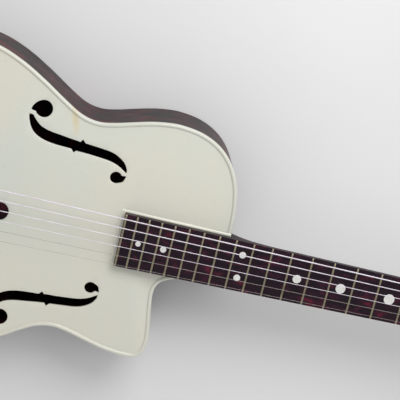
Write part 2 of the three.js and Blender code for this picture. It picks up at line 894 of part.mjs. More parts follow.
// A key in its own frame: the shaft along +Z, the gear's side towards +X.
function keySolid(side) {
  const inner = -side * (lugOffset + lugThickness);
  const collar = side * (keyReach - keyCollarLength);
  const outer = side * (keyReach + keyCollarOverlap);
  const ordered = (a, b) => [Math.min(a, b), Math.max(a, b)];
  const coreHalf = wormLength / 2 + wormRootWidth;
  const core = rod(wormCoreRadius, shaftSides, -coreHalf, coreHalf);
  const shaft = rod(keyShaftRadius, shaftSides, ...ordered(inner, outer));
  const neck = rod(keyCollarRadius, shaftSides, ...ordered(collar, outer));
  const centre = side * (keyReach + keyButtonLength / 2);
  const oval = new THREE.EllipseCurve(0, centre, keyButtonWidth / 2, keyButtonLength / 2);
  const button = extruded(
    oval.getPoints(buttonSteps).slice(0, -1),
    -keyButtonThickness / 2,
    keyButtonThickness / 2,
    new THREE.Matrix4().makeRotationX(Math.PI / 2),
  );
  return core.add(wormThread()).add(shaft).add(neck).add(button);
}

// The key's frame in the headstock: its +Z along the head's +Y, its +X towards the gear.
function keyPlace(post) {
  const toGear = vec3(-1, 0, 0);
  const basis = new THREE.Matrix4().makeBasis(toGear, zAxis, yAxis);
  const place = vec3(post.place.x + centreDistance, post.place.y, gearLevel);
  return basis.setPosition(place);
}

function tunerPlate(side) {
  const row = posts().filter((post) => post.side === side);
  const first = Math.min(...row.map((post) => post.place.x)) - tunerPlateMargin;
  const last = Math.max(...row.map((post) => post.place.x)) + tunerPlateMargin;
  const middle = (side * postSpread) / 2;
  let plate = block(
    vec3(first, middle - tunerPlateWidth / 2, plateBack),
    vec3(last, middle + tunerPlateWidth / 2, plateFoot),
  );
  for (const post of row) {
    const axis = post.place.x + centreDistance;
    for (const offset of [-lugOffset, lugOffset]) {
      const y = middle + offset;
      plate = plate.add(
        block(
          vec3(axis - lugWidth / 2, y - lugThickness / 2, gearLevel - lugBeyondShaft),
          vec3(axis + lugWidth / 2, y + lugThickness / 2, plateFoot - tunerPlateThickness / 2),
        ),
      );
    }
    const reach = lugOffset + lugThickness + cutOverrun;
    const bearingPlace = vec3(axis, middle, gearLevel);
    const bearing = rod(keyShaftRadius + runningGap, shaftSides, -reach, reach, turnToY, bearingPlace);
    const low = plateBack - cutOverrun;
    const high = plateFoot + cutOverrun;
    const bore = rod(postRadius + runningGap, postSides, low, high, null, post.place);
    plate = plate.subtract(bearing).subtract(bore);
  }
  return plate;
}

// Strings

function strings() {
  const places = posts();
  return stringDiameters.map((diameter, i) => {
    const radius = diameter / 2;
    const share = 0.5 - i / (stringDiameters.length - 1);
    const windingFoot = seatGap + headFaceThickness + windingBase;
    const nutMiddle = scaleLength + seatGap + nutLength / 2;
    return {
      name: `string_${i + 1}`,
      radius,
      post: places[i],
      atSaddle: vec3(0, share * spreadAtSaddle, fretLevel + heightAtSaddle + radius),
      atNut: vec3(nutMiddle, share * spreadAtNut, fretLevel + heightAtNut + radius),
      windingFoot,
      windingTop: windingFoot + windingTurns * (diameter + windingPitchGap),
    };
  });
}

const loopSteps = 12;
const stringSides = 5;

// The turns round a post, in the headstock's frame, from the nut's side up to the post's hole.
function windingPoints(string) {
  const { side, place } = string.post;
  const reach = postRadius + seatGap + string.radius;
  const points = [];
  const steps = Math.round(windingTurns * loopSteps);
  for (let i = 0; i <= steps; i++) {
    const turned = (2 * Math.PI * i) / loopSteps;
    const angle = side * (turned - Math.PI / 2);
    const level = lerp(string.windingFoot, string.windingTop, i / steps);
    points.push(vec3(place.x + reach * Math.cos(angle), place.y + reach * Math.sin(angle), level));
  }
  return points;
}

// The whole string: its ball behind the tail bar, over the saddle and the nut, and round its post.
function stringPoints(string) {
  const y = string.atSaddle.y;
  const ballEnd = vec3(tailBarAt - seatGap - ballLength, y, ballLevel);
  const ballFace = vec3(tailBarAt - seatGap, y, ballLevel);
  const neckOfBall = vec3(tailBarAt - seatGap / 2, y, ballLevel);
  const barFront = vec3(tailBarAt + tailBarDepth, y, ballLevel);
  const winding = windingPoints(string).map((point) => point.applyMatrix4(headPlace));
  return [ballEnd, ballFace, neckOfBall, barFront, string.atSaddle, string.atNut, ...winding];
}

function stringSolid(string) {
  const points = stringPoints(string);
  const radii = points.map((point, i) => (i < 2 ? ballRadius : string.radius));
  return tube(points, radii, stringSides);
}

// The least clear distance from one turn of a winding to the rest of its string.
function windingGap(string) {
  const points = stringPoints(string).slice(5);
  const dense = points.slice(0, -1).flatMap((point, i) => {
    const steps = i === 0 ? 4 * loopSteps : 2;
    return Array.from({ length: steps }, (unused, k) => point.clone().lerp(points[i + 1], k / steps));
  });
  const apart = Math.PI * (postRadius + string.radius);
  let least = Infinity;
  const run = [0];
  for (let i = 1; i < dense.length; i++) run.push(run[i - 1] + dense[i].distanceTo(dense[i - 1]));
  for (let i = 0; i < dense.length; i++) {
    for (let k = i + 1; k < dense.length; k++) {
      if (run[k] - run[i] > apart) least = Math.min(least, dense[i].distanceTo(dense[k]));
    }
  }
  return least - 2 * string.radius;
}

// Bridge

const baseFoot = topLevel + seatGap;
const baseTop = baseFoot + bridgeBaseHeight;
const wheelFoot = baseTop + runningGap + bridgeTravel;
const saddleFoot = wheelFoot + wheelThickness + runningGap;
const stringFoot = fretLevel + heightAtSaddle;
const saddleCrest = stringFoot + saddleAboveStringFoot;
const studTop = saddleFoot + studIntoSaddle;
const studHoleTop = studTop + bridgeTravel + runningGap;

// The rounded end of the base: across in shares of half its width, along in shares of half its length.
const baseEndShares = [[0.25, 1], [0.6, 0.93], [0.85, 0.8], [1, 0.5]];

function bridgeBase() {
  const half = bridgeBaseLength / 2;
  const wide = bridgeBaseWidth / 2;
  const corner = baseEndShares.map(([across, along]) => vec2(across * wide, along * half));
  const right = [...corner.map((point) => vec2(point.x, -point.y)), ...[...corner].reverse()];
  const plan = [...right, ...right.map((point) => vec2(-point.x, -point.y))];
  let base = extruded(plan, baseFoot, baseTop);
  const studFoot = baseTop - bridgeBaseHeight / 2;
  for (const side of [-1, 1]) {
    base = base.add(rod(studRadius, studSides, studFoot, studTop, null, studPlace(side)));
  }
  return base;
}

const studPlace = (side) => vec3(0, (side * studSpread) / 2, 0);

const wheelTeeth = 16;

function thumbwheel(side) {
  const points = [];
  for (let i = 0; i < 2 * wheelTeeth; i++) {
    const radius = wheelRadius - (i % 2) * wheelKnurl;
    const angle = (Math.PI * i) / wheelTeeth;
    points.push(vec2(radius * Math.cos(angle), radius * Math.sin(angle)));
  }
  const wheel = extruded(points, wheelFoot, wheelFoot + wheelThickness, null, studPlace(side));
  const low = wheelFoot - cutOverrun;
  const high = saddleFoot + cutOverrun;
  return wheel.subtract(rod(studRadius + runningGap, pinSides, low, high, null, studPlace(side)));
}

function bridgeSaddle() {
  const foot = saddleWidth / 2;
  const crest = saddleCrestWidth / 2;
  const section = [
    vec2(saddleFoot, -foot),
    vec2(saddleFoot, foot),
    vec2(lerp(saddleFoot, saddleCrest, saddleShoulderShare), foot),
    vec2(saddleCrest, crest),
    vec2(saddleCrest, -crest),
    vec2(lerp(saddleFoot, saddleCrest, saddleShoulderShare), -foot),
  ];
  let saddle = extruded(section.reverse(), -saddleLength / 2, saddleLength / 2, turnToY);
  for (const side of [-1, 1]) {
    const low = saddleFoot - cutOverrun;
    const hole = rod(studRadius + runningGap, pinSides, low, studHoleTop, null, studPlace(side));
    saddle = saddle.subtract(hole);
  }
  for (const string of strings()) {
    const half = string.radius + seatGap;
    const low = vec3(-saddleWidth, string.atSaddle.y - half, stringFoot - seatGap);
    const high = vec3(saddleWidth, string.atSaddle.y + half, saddleCrest + cutOverrun);
    saddle = saddle.subtract(block(low, high));
  }
  return saddle;
}

// Tailpiece

const tailPlateFoot = topLevel + tailClearance;
const tailPlateTop = tailPlateFoot + tailPlateThickness;
const ballLevel = tailPlateTop + seatGap + ballRadius;
const knuckleLevel = tailPlateFoot + tailPlateThickness / 2;
const bracketFace = -saddleToTail - seatGap;
const hingeAt = bracketFace - bracketThickness - knuckleRadius / 2;

function tailpiece() {
  const bar = tailBarAt + tailBarDepth;
  const hinge = hingeAt + knuckleRadius;
  const plan = [
    vec2(bar, -tailFrameWidth / 2),
    vec2(bar, tailFrameWidth / 2),
    vec2(tailBarAt - ballLength - tailLegWidth, tailFrameWidth / 2),
    vec2(hinge, tailTabWidth / 2),
    vec2(hinge, -tailTabWidth / 2),
    vec2(tailBarAt - ballLength - tailLegWidth, -tailFrameWidth / 2),
  ];
  const windowFrom = tailBarAt - ballLength - 2 * tailLegWidth;
  const windowTo = hinge + 2 * tailLegWidth;
  const window = [
    vec2(windowFrom, tailFrameWidth / 2 - 2 * tailLegWidth),
    vec2(windowTo, tailTabWidth / 2 - tailLegWidth),
    vec2(windowTo, -tailTabWidth / 2 + tailLegWidth),
    vec2(windowFrom, -tailFrameWidth / 2 + 2 * tailLegWidth),
  ];
  let frame = extruded(plan, tailPlateFoot, tailPlateTop, null, null, [window]);
  const half = tailFrameWidth / 2;
  const lip = block(vec3(tailBarAt, -half, tailPlateFoot), vec3(bar, half, tailPlateFoot + tailBarRise));
  frame = frame.add(lip);
  for (const string of strings()) {
    const wide = string.radius + seatGap;
    const y = string.atSaddle.y;
    const low = vec3(tailBarAt - cutOverrun, y - wide, ballLevel - wide);
    const high = vec3(bar + cutOverrun, y + wide, tailPlateFoot + tailBarRise + cutOverrun);
    frame = frame.subtract(block(low, high));
  }
  const slot = knuckleLength / 2 + runningGap;
  const slotLow = vec3(hingeAt - knuckleRadius, -slot, tailPlateFoot - cutOverrun);
  const slotHigh = vec3(hinge + runningGap, slot, tailPlateTop + cutOverrun);
  frame = frame.subtract(block(slotLow, slotHigh));
  const place = vec3(hingeAt, 0, knuckleLevel);
  for (const side of [-1, 1]) {
    const ends = [side * slot, (side * tailTabWidth) / 2].sort((a, b) => a - b);
    const low = vec3(hingeAt, ends[0], tailPlateFoot);
    const arm = block(low, vec3(hinge + tailLegWidth, ends[1], tailPlateTop));
    frame = frame.add(rod(knuckleRadius, pinSides, ...ends, turnToY, place)).add(arm);
  }
  return frame.add(rod(hingePinRadius, studSides, -tailTabWidth / 2, tailTabWidth / 2, turnToY, place));
}

function tailBracket() {
  const top = knuckleLevel;
  const low = top - bracketHeight;
  const half = knuckleLength / 2;
  const plate = block(vec3(bracketFace - bracketThickness, -half, low), vec3(bracketFace, half, top));
  const place = vec3(hingeAt, 0, knuckleLevel);
  const barrel = rod(knuckleRadius, pinSides, -half, half, turnToY, place);
  const reach = half + cutOverrun;
  const bore = rod(hingePinRadius + runningGap, pinSides, -reach, reach, turnToY, place);
  const pinHole = rod(
    endPinStemRadius + seatGap,
    pinSides,
    bracketFace - bracketThickness - cutOverrun,
    bracketFace + cutOverrun,
    turnToX,
    vec3(0, 0, endPinLevel),
  );
  return plate.add(barrel).subtract(bore).subtract(pinHole);
}

// The head of the end pin: along in shares of its length from its outer end, out in shares of the
// step from its neck's radius to its head's.
const pinHeadShares = [[0, 0.5], [0.15, 1], [0.3, 1], [0.5, 0], [0.75, 0], [1, 0.7]];

function endPin() {
  const seat = bracketFace - bracketThickness - seatGap;
  const end = seat - endPinLength;
  const head = pinHeadShares.map(([along, out]) =>
    vec2(lerp(endPinNeckRadius, endPinHeadRadius, out), lerp(end, seat, along)),
  );
  const profile = [
    vec2(0, end),
    ...head,
    vec2(endPinStemRadius, seat),
    vec2(endPinStemRadius, seat + endPinStemLength),
    vec2(0, seat + endPinStemLength),
  ];
  return lathed(profile, endPinSides, turnToX, vec3(0, 0, endPinLevel));
}

// Materials

const plastic = (color, roughness) => new THREE.MeshStandardMaterial({ color, roughness, metalness: 0 });
const metal = (color, roughness) => new THREE.MeshStandardMaterial({ color, roughness, metalness: 1 });
const ivory = plastic(0xd8d8c8, 0.25);
const marbled = plastic(0x3a1418, 0.2);
const boardMarbled = plastic(0x2a1216, 0.3);
const innerPlastic = plastic(0xb9b09a, 0.6);
const nickel = metal(0xb8b4a8, 0.3);
const brass = metal(0xa89a6c, 0.35);
const steel = metal(0xc8c8c8, 0.25);
const bronze = metal(0xc0a878, 0.35);
const pearl = plastic(0xe8e4d4, 0.3);

// Assembly

const guitar = new THREE.Group();
const headstock = new THREE.Group();
headstock.applyMatrix4(headPlace);
guitar.add(headstock);

function addPiece(group, name, body, material) {
  const mesh = new THREE.Mesh(geometryOf(body), material);
  mesh.name = name;
  group.add(mesh);
  return mesh;
}

addPiece(guitar, 'top_plate', topPlate(), ivory);
addPiece(guitar, 'rim_sides', rimSides(), marbled);
addPiece(guitar, 'back_plate', backPlate(), marbled);
addPiece(guitar, 'neck_block', neckBlock(), innerPlastic);
addPiece(guitar, 'tail_block', tailBlock(), innerPlastic);
addPiece(guitar, 'tone_bar_bass', toneBar(1), innerPlastic);
addPiece(guitar, 'tone_bar_treble', toneBar(-1), innerPlastic);
addPiece(guitar, 'back_brace', backBrace(), innerPlastic);
addPiece(guitar, 'centre_button', centreButton(), marbled);
addPiece(guitar, 'neck', neckSolid(), marbled);
addPiece(guitar, 'fingerboard', fingerboard(), boardMarbled);
addPiece(guitar, 'nut', nut(), pearl);
for (let number = 1; number <= fretCount; number++) {
  addPiece(guitar, `fret_${String(number).padStart(2, '0')}`, fret(number), brass);
}
addPiece(guitar, 'bridge_base', bridgeBase(), marbled);
addPiece(guitar, 'bridge_saddle', bridgeSaddle(), marbled);
addPiece(guitar, 'thumbwheel_bass', thumbwheel(1), nickel);
addPiece(guitar, 'thumbwheel_treble', thumbwheel(-1), nickel);
addPiece(guitar, 'tailpiece', tailpiece(), nickel);
addPiece(guitar, 'tail_bracket', tailBracket(), nickel);
addPiece(guitar, 'end_pin', endPin(), pearl);
addPiece(headstock, 'headstock_face', headFace(), ivory);
addPiece(headstock, 'tuner_plate_bass', tunerPlate(1), nickel);
addPiece(headstock, 'tuner_plate_treble', tunerPlate(-1), nickel);

let leastGap = Infinity;
strings().forEach((string, i) => {
  addPiece(guitar, string.name, stringSolid(string), i < 4 ? bronze : steel);
  addPiece(headstock, `tuner_post_${i + 1}`, tunerPost(string.post, string), nickel);
  const key = addPiece(headstock, `tuner_key_${i + 1}`, keySolid(string.post.side), pearl);
  key.applyMatrix4(keyPlace(string.post));
  leastGap = Math.min(leastGap, windingGap(string));
});
console.log(`least gap of a string winding to itself: ${leastGap.toFixed(2)} mm`);

export default guitar;
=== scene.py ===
# The looks of a plastic archtop guitar, built round its CAD frame. Sizes are in metres:
# +X runs along the neck, +Y points to the bass side and +Z comes out of the top.
import math

import bmesh
import bpy
import numpy as np
from mathutils import Matrix, Vector
from mathutils.geometry import delaunay_2d_cdt


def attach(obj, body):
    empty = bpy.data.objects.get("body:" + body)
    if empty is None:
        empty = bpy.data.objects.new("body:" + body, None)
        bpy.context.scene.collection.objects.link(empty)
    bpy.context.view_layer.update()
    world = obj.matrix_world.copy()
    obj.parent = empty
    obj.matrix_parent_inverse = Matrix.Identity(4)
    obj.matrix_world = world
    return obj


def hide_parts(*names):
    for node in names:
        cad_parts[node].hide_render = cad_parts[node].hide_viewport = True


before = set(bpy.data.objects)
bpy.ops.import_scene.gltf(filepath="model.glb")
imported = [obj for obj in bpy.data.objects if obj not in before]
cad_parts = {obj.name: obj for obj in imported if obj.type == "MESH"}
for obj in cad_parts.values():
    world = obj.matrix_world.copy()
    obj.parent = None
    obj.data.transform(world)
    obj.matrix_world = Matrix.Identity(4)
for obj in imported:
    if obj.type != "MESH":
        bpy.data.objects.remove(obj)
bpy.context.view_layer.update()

# Body plan
scale_length = 0.641
saddle_to_tail = 0.160
neck_joint_at = 0.315
lower_bout_width, lower_bout_at = 0.3466, 0.005
waist_width, waist_at = 0.2298, 0.153
upper_bout_width, upper_bout_at = 0.2616, 0.236
horn_reach = 0.0202
cutaway_root_at = 0.285
neck_seat_width = 0.054
tail_power = 0.93
outline_steps = 7

# Body section
back_rim_level = 0.005
top_rim_level = 0.079
top_level = 0.084
wall = 0.003
rim_setback = 0.0004
rim_gap = 0.0003
bead_width, bead_height = 0.0048, 0.003
groove_width, groove_height = 0.0018, 0.0013
back_edge_height, back_edge_round = 0.0022, 0.0016
spine_from, spine_to = -0.020, 0.205
arch_reach = 0.66
arch_rings = 10
bead_steps = 8
hole_lip, hole_lip_drop = 0.0005, 0.00025

# F-holes and button
f_hole_length = 0.112
f_hole_at = 0.1374
f_hole_spread = 0.1696
large_eye_radius, small_eye_radius = 0.0091, 0.0063
eye_steps, hole_steps = 22, 4
button_at, button_radius, button_rise = 0.0727, 0.0093, 0.0024
button_edge, button_crown = 0.0009, 0.0003
button_pin_radius, button_pin_depth = 0.003, 0.004

# Fingerboard
fret_count = 20
nut_width, board_end_width = 0.0476, 0.0576
board_beyond_fret = 0.0015
board_level, fret_level = 0.0948, 0.0958
pad_level, pad_root = 0.0857, 0.083
pad_beyond, pad_beside, pad_corner = 0.0048, 0.002, 0.0016
pad_step, pad_step_reach = 0.0007, 0.0022
pad_slope, pad_slope_drop = 0.0015, 0.0009
fret_width, fret_inset, fret_end = 0.0022, 0.0003, 0.0008
fret_foot_rise, fret_crown_power = 0.00015, 0.8
fret_end_height, fret_end_width = 0.12, 0.4
fret_crown_steps, fret_end_steps = 9, 4
tang_width, tang_depth = 0.0006, 0.0016
dot_spread = 0.0256
dot_rise, dot_depth, dot_edge_share = 0.00004, 0.0008, 0.97

# Neck and headstock
neck_top = 0.089
tongue_foot = 0.086
neck_start = 0.3153
heel_length, heel_depth, heel_width = 0.046, 0.070, 0.054
neck_depths = {"nut": 0.014, "middle": 0.0155, "body": 0.017}
neck_powers = {"heel": 1, "middle": 0.95, "nut": 0.85, "head_start": 0.7, "head": 0.5}
heel_steps, head_steps, section_steps = 6, 5, 28
head_start = 0.6466
head_tilt = math.radians(14)
head_length, head_width, head_thickness = 0.160, 0.076, 0.013
head_blend = 0.010
head_edge = 0.0016
face_top = 0.0018
bore_low, bore_high = -0.03, 0.01

# Strings, from the bass side
string_sizes = [0.00135, 0.00107, 0.00081, 0.00061, 0.00041, 0.0003]
wound_strings = 4
spread_at_nut, spread_at_saddle = 0.0389, 0.0553
height_at_nut, height_at_saddle = 0.0006, 0.008
string_sides = 10
winding_turns, winding_pitch_gap, winding_foot = 2.5, 0.00075, 0.0044
loop_steps = 24
nut_touch = 0.0028
ball_radius, ball_length = 0.0019, 0.0034
ball_level = 0.0918
tie_length, tie_extra, tie_stretches = 0.012, 0.00018, 2
stretch_steps = {1: 2, 2: 6, 3: 12, 4: 40}

# Bridge
base_foot, base_top = 0.0843, 0.0908
base_length, base_width = 0.116, 0.022
base_round, base_steps = 0.0012, 4
stud_spread, stud_radius, stud_top = 0.062, 0.0019, 0.0984
stud_pitch, stud_groove = 0.0008, 0.00022
stud_foot, stud_tip = 0.002, 0.0001
wheel_foot, wheel_thickness, wheel_radius = 0.0929, 0.0022, 0.008
wheel_teeth, wheel_knurl = 32, 0.0004
wheel_bore, wheel_edge, wheel_flat_inset = 0.0022, 0.0003, 0.0004

# Tailpiece and end pin
tail_bar_at, tail_bar_depth = -0.064, 0.005
end_pin_seat, end_pin_level = -0.1624, 0.042
end_pin_length = 0.015
end_pin_head, end_pin_neck = 0.007, 0.0042
shank_radius, shank_length = 0.0025, 0.016
end_pin_steps = 3

# Tuning machine, in the headstock's frame
post_places = [0.038, 0.076, 0.114]
post_spread = 0.044
post_radius, post_waist, post_top = 0.003, 0.0004, 0.0158
post_hole_radius = 0.0009
gear_teeth, gear_pitch_radius = 14, 0.006
gear_addendum, gear_dedendum, gear_thickness = 0.0006, 0.00085, 0.0024
gear_tip_width, gear_root_width = 0.0007, 0.0016
gear_level = -0.0183
gear_screw_radius, gear_screw_edge, gear_screw_height = 0.0022, 0.0004, 0.0012
centre_distance = 0.009
worm_core, worm_crest, worm_length = 0.002, 0.0035, 0.0074
worm_crest_width, worm_root_width = 0.0006, 0.0013
thread_steps = 24
lug_reach = 0.0074
key_shaft_radius, key_reach = 0.0015, 0.024
key_collar_radius, key_collar_length, key_collar_overlap = 0.0028, 0.003, 0.0021
key_collar_edge = 0.0004
button_length, button_width, button_thickness = 0.015, 0.017, 0.006
plate_back = -0.0145
screw_places = [0.027, 0.060, 0.098]
screw_radius, screw_height, screw_slot = 0.0025, 0.0011, 0.0006
screw_foot, screw_rim, slot_reach = 0.001, 0.0002, 0.004
screw_turn = math.radians(35)
ferrule_radius, ferrule_height = 0.0052, 0.0009
ferrule_gap, ferrule_edge_rise, ferrule_edge = 0.00035, 0.0004, 0.0006

# Rounding of edges, and both sides
fine_edge, usual_edge, soft_edge, broad_edge = 0.00025, 0.0003, 0.0004, 0.0005
sides = ((1, "bass"), (-1, "treble"))

# Curve and plan helpers


def unit(vectors):
    """One vector or several, each made one long."""
    return vectors / np.linalg.norm(vectors, axis=-1, keepdims=True)


def circle(count):
    """Points round a circle with a radius of one."""
    angles = np.arange(count) * 2 * math.pi / count
    return np.column_stack([np.cos(angles), np.sin(angles)])


def quarter(count):
    """Points of a rounded edge with a radius of one: the way in and the way down at each."""
    turns = np.linspace(0, math.pi / 2, count)
    return list(zip(1 - np.cos(turns), 1 - np.sin(turns)))


def smooth(points, steps):
    """The points, with a smooth line of steps from each to the next."""
    points = np.asarray(points, float)
    padded = np.vstack([points[:1], points, points[-1:]])
    slopes = (padded[2:] - padded[:-2]) / 2
    line = []
    for start, end, leave, arrive in zip(points, points[1:], slopes, slopes[1:]):
        for t in np.arange(steps) / steps:
            curve = (3 * (end - start) - 2 * leave - arrive) * t**2
            line.append(start + leave * t + curve + (2 * (start - end) + leave + arrive) * t**3)
    return np.array([*line, points[-1]])


def between(start, end, shares):
    """Points at shares along and across the way from start to end."""
    return start + np.array(shares) * (end - start)


def cross(a, b):
    return a[..., 0] * b[..., 1] - a[..., 1] * b[..., 0]


def inset(points, distance):
    """A closed anticlockwise outline drawn inwards."""
    first = unit(points - np.roll(points, 1, axis=0))
    second = unit(np.roll(points, -1, axis=0) - points)
    middle = unit(np.column_stack([-(first + second)[:, 1], (first + second)[:, 0]]))
    return points + middle * (distance / cross(first, middle))[:, None]


def spine_of(points):
    along = np.clip(points[:, 0], spine_from, spine_to)
    return np.column_stack([along, np.zeros(len(points))])


def towards_spine(points, share):
    return points + (spine_of(points) - points) * share


def in_space(x, y, z):
    """Points in space from one number, or one for each point, along each axis."""
    return np.column_stack(np.broadcast_arrays(x, y, z))


def at_level(points, level):
    """Plan points as points in space."""
    return in_space(*np.transpose(points), level)


arch_shares = arch_reach * (np.arange(arch_rings) + 1) / arch_rings


def rise_of(share):
    """How far an arch has risen at a share of the way in from its edge."""
    return np.sin(np.minimum(share / arch_reach, 1) * math.pi / 2)


def inside(points, outline):
    """Which points lie inside a closed outline."""
    x, y = points.T
    found = np.zeros(len(points), bool)
    for (ax, ay), (bx, by) in zip(outline, np.roll(outline, -1, axis=0)):
        if ay != by:
            found ^= ((ay > y) != (by > y)) & (x < (bx - ax) * (y - ay) / (by - ay) + ax)
    return found


# Mesh helpers

least_radius, sharp_turn = 1e-6, 35
lie_down = Matrix.Rotation(math.pi / 2, 4, "Y")


def shade(piece, sharp=sharp_turn):
    """Smooth faces, and sharp edges where the surface turns more than sharp degrees."""
    piece.data.shade_smooth()
    piece.data.set_sharp_from_angle(angle=math.radians(sharp))
    return piece


def add_object(name, data):
    made = bpy.data.objects.new(name, data)
    bpy.context.scene.collection.objects.link(made)
    return made


def finish_mesh(name, vertices, faces, sharp=sharp_turn):
    """A mesh object with its faces turned outwards and shaded."""
    mesh = bpy.data.meshes.new(name)
    mesh.from_pydata(np.asarray(vertices, float).tolist(), [], faces)
    work = bmesh.new()
    work.from_mesh(mesh)
    bmesh.ops.recalc_face_normals(work, faces=work.faces)
    work.to_mesh(mesh)
    work.free()
    return shade(add_object(name, mesh), sharp)


def strips(loops, closed=False):
    """Faces from each loop of points to the next."""
    following = loops[1:] + loops[:1] if closed else loops[1:]
    return [
        (first[i - 1], first[i], second[i], second[i - 1])
        for first, second in zip(loops, following)
        for i in range(len(first))
    ]


def loft(name, rings, closed=False, sharp=sharp_turn):
    """A skin over rings with the same number of points, with flat ends or closed on itself."""
    points = np.concatenate(rings)
    loops = np.arange(len(points)).reshape(len(rings), -1).tolist()
    ends = [] if closed else [loops[0], loops[-1]]
    return finish_mesh(name, points, strips(loops, closed) + ends, sharp)


def lathe(name, profile, sides, sharp=sharp_turn, closed=False):
    """A piece turned about Z from points of radius and height, from end to end or as a ring."""
    rings = [at_level(circle(sides) * max(radius, least_radius), height) for radius, height in profile]
    return loft(name, rings, closed, sharp)


def tube(name, path, radii, sides):
    """A round wire along a path."""
    side = np.array([0.0, 1.0, 0.0])
    rings = []
    for point, direction, radius in zip(path, unit(np.gradient(path, axis=0)), radii):
        side = unit(side - direction * side.dot(direction))
        up = np.cross(direction, side)
        rings.append(point + radius * circle(sides) @ np.array([side, up]))
    return loft(name, rings)


def carve(piece, tool, operation="DIFFERENCE"):
    """Cuts, joins or meets a piece with a tool, which is then removed."""
    cut = piece.modifiers.new("cut", "BOOLEAN")
    cut.operation = operation
    cut.solver = "MANIFOLD"
    cut.object = tool
    graph = bpy.context.evaluated_depsgraph_get()
    result = bpy.data.meshes.new_from_object(piece.evaluated_get(graph))
    piece.modifiers.clear()
    piece.data = result
    bpy.data.objects.remove(tool)


def round_edges(piece, width, segments=2):
    """Rounds a piece's sharp edges."""
    rounding = piece.modifiers.new("rounding", "BEVEL")
    rounding.width = width
    rounding.segments = segments
    rounding.limit_method = "ANGLE"
    rounding.angle_limit = math.radians(sharp_turn)
    rounding.harden_normals = True


def placed(piece, matrix):
    """The piece, moved and turned by a matrix."""
    piece.data.transform(matrix)
    return piece


def paint(piece, material):
    piece.data.materials.clear()
    piece.data.materials.append(material)


def dress(piece, material, body="root", hides=None):
    """Gives a new piece its material and its body, and hides the node that it stands for."""
    paint(piece, material)
    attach(piece, body)
    if hides:
        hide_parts(hides)


def repaint(node, material, rounding):
    """Gives a CAD node a finished material and rounded edges."""
    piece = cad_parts[node]
    paint(piece, material)
    round_edges(shade(piece), rounding)


# Material helpers


def fill(tree, made, inputs):
    """Fills a node's inputs, each with a value or with another node's output."""
    for socket, value in inputs.items():
        if isinstance(value, bpy.types.NodeSocket):
            tree.links.new(value, made.inputs[socket])
        else:
            made.inputs[socket].default_value = value


def new_material(name):
    """A material and its node tree."""
    material = bpy.data.materials.new(name)
    material.use_nodes = True
    return material, material.node_tree


def finished(material, inputs):
    """The material, with its shader's inputs filled."""
    tree = material.node_tree
    fill(tree, tree.nodes["Principled BSDF"], inputs)
    return material


def node(tree, kind, inputs, **settings):
    """A shader node with its settings and inputs."""
    made = tree.nodes.new("ShaderNode" + kind)
    for key, value in settings.items():
        setattr(made, key, value)
    fill(tree, made, inputs)
    return made


def own_place(tree):
    """The object's own coordinates."""
    return tree.nodes.new("ShaderNodeTexCoord").outputs["Object"]


def stretched(tree, scale):
    """The object's own coordinates, scaled along each axis."""
    return node(tree, "Mapping", {"Vector": own_place(tree), "Scale": scale}).outputs["Vector"]


def noise(tree, vector, scale=1.0, detail=3.0, roughness=0.5, distortion=0.0):
    inputs = {"Vector": vector, "Scale": scale, "Detail": detail, "Roughness": roughness,
              "Distortion": distortion}
    return node(tree, "TexNoise", inputs)


def grey_noise(tree, scale, **settings):
    """Noise from nought to one. The scale is one number, or one for each axis."""
    scales = scale if isinstance(scale, tuple) else (scale,) * 3
    return noise(tree, stretched(tree, scales), **settings).outputs["Fac"]


def ramp(tree, factor, stops):
    """Colours, or greys, along a factor."""
    made = node(tree, "ValToRGB", {"Fac": factor})
    elements = made.color_ramp.elements
    elements.remove(elements[1])
    for i, (position, colour) in enumerate(stops):
        colour = colour if isinstance(colour, tuple) else (colour,) * 3
        element = elements[0] if i == 0 else elements.new(position)
        element.position = position
        element.color = (*colour, 1)
    return made.outputs["Color"]


def span(tree, value, low, high):
    """A value from nought to one as one from low to high."""
    return node(tree, "MapRange", {"Value": value, "To Min": low, "To Max": high}).outputs["Result"]


def mix(tree, factor, first, second):
    return node(tree, "MixRGB", {"Fac": factor, "Color1": first, "Color2": second}).outputs["Color"]


def bump(tree, height, distance, strength):
    inputs = {"Height": height, "Distance": distance, "Strength": strength}
    return node(tree, "Bump", inputs).outputs["Normal"]


def scratched(tree, scale, depth):
    """The normals of a face with fine scratches that run in two directions."""
    along = grey_noise(tree, (scale, scale * 0.03, scale), detail=2)
    across = grey_noise(tree, (scale * 0.04, scale, scale), detail=2)
    return bump(tree, mix(tree, 0.5, along, across), depth, 0.5)


# Materials

ivory_warm, ivory_cool = (0.68, 0.67, 0.58), (0.65, 0.67, 0.6)
speck_colour, stain_colour = (0.5, 0.47, 0.36), (0.66, 0.57, 0.33)
stain_at, stain_size = (0.1285, 0.112, 0.0835), (0.0048, 0.021, 0.02)
stain_turn = math.radians(17)
marbled_stops = [
    (0.38, (0.007, 0.003, 0.004)), (0.5, (0.02, 0.004, 0.007)), (0.6, (0.06, 0.007, 0.011)),
    (0.67, (0.11, 0.011, 0.015)), (0.76, (0.03, 0.005, 0.008)),
]
board_stops = [
    (0.38, (0.009, 0.005, 0.009)), (0.54, (0.018, 0.006, 0.013)), (0.63, (0.045, 0.007, 0.018)),
    (0.71, (0.12, 0.011, 0.026)), (0.8, (0.03, 0.006, 0.013)),
]
wrap_bands_per_metre = 1050


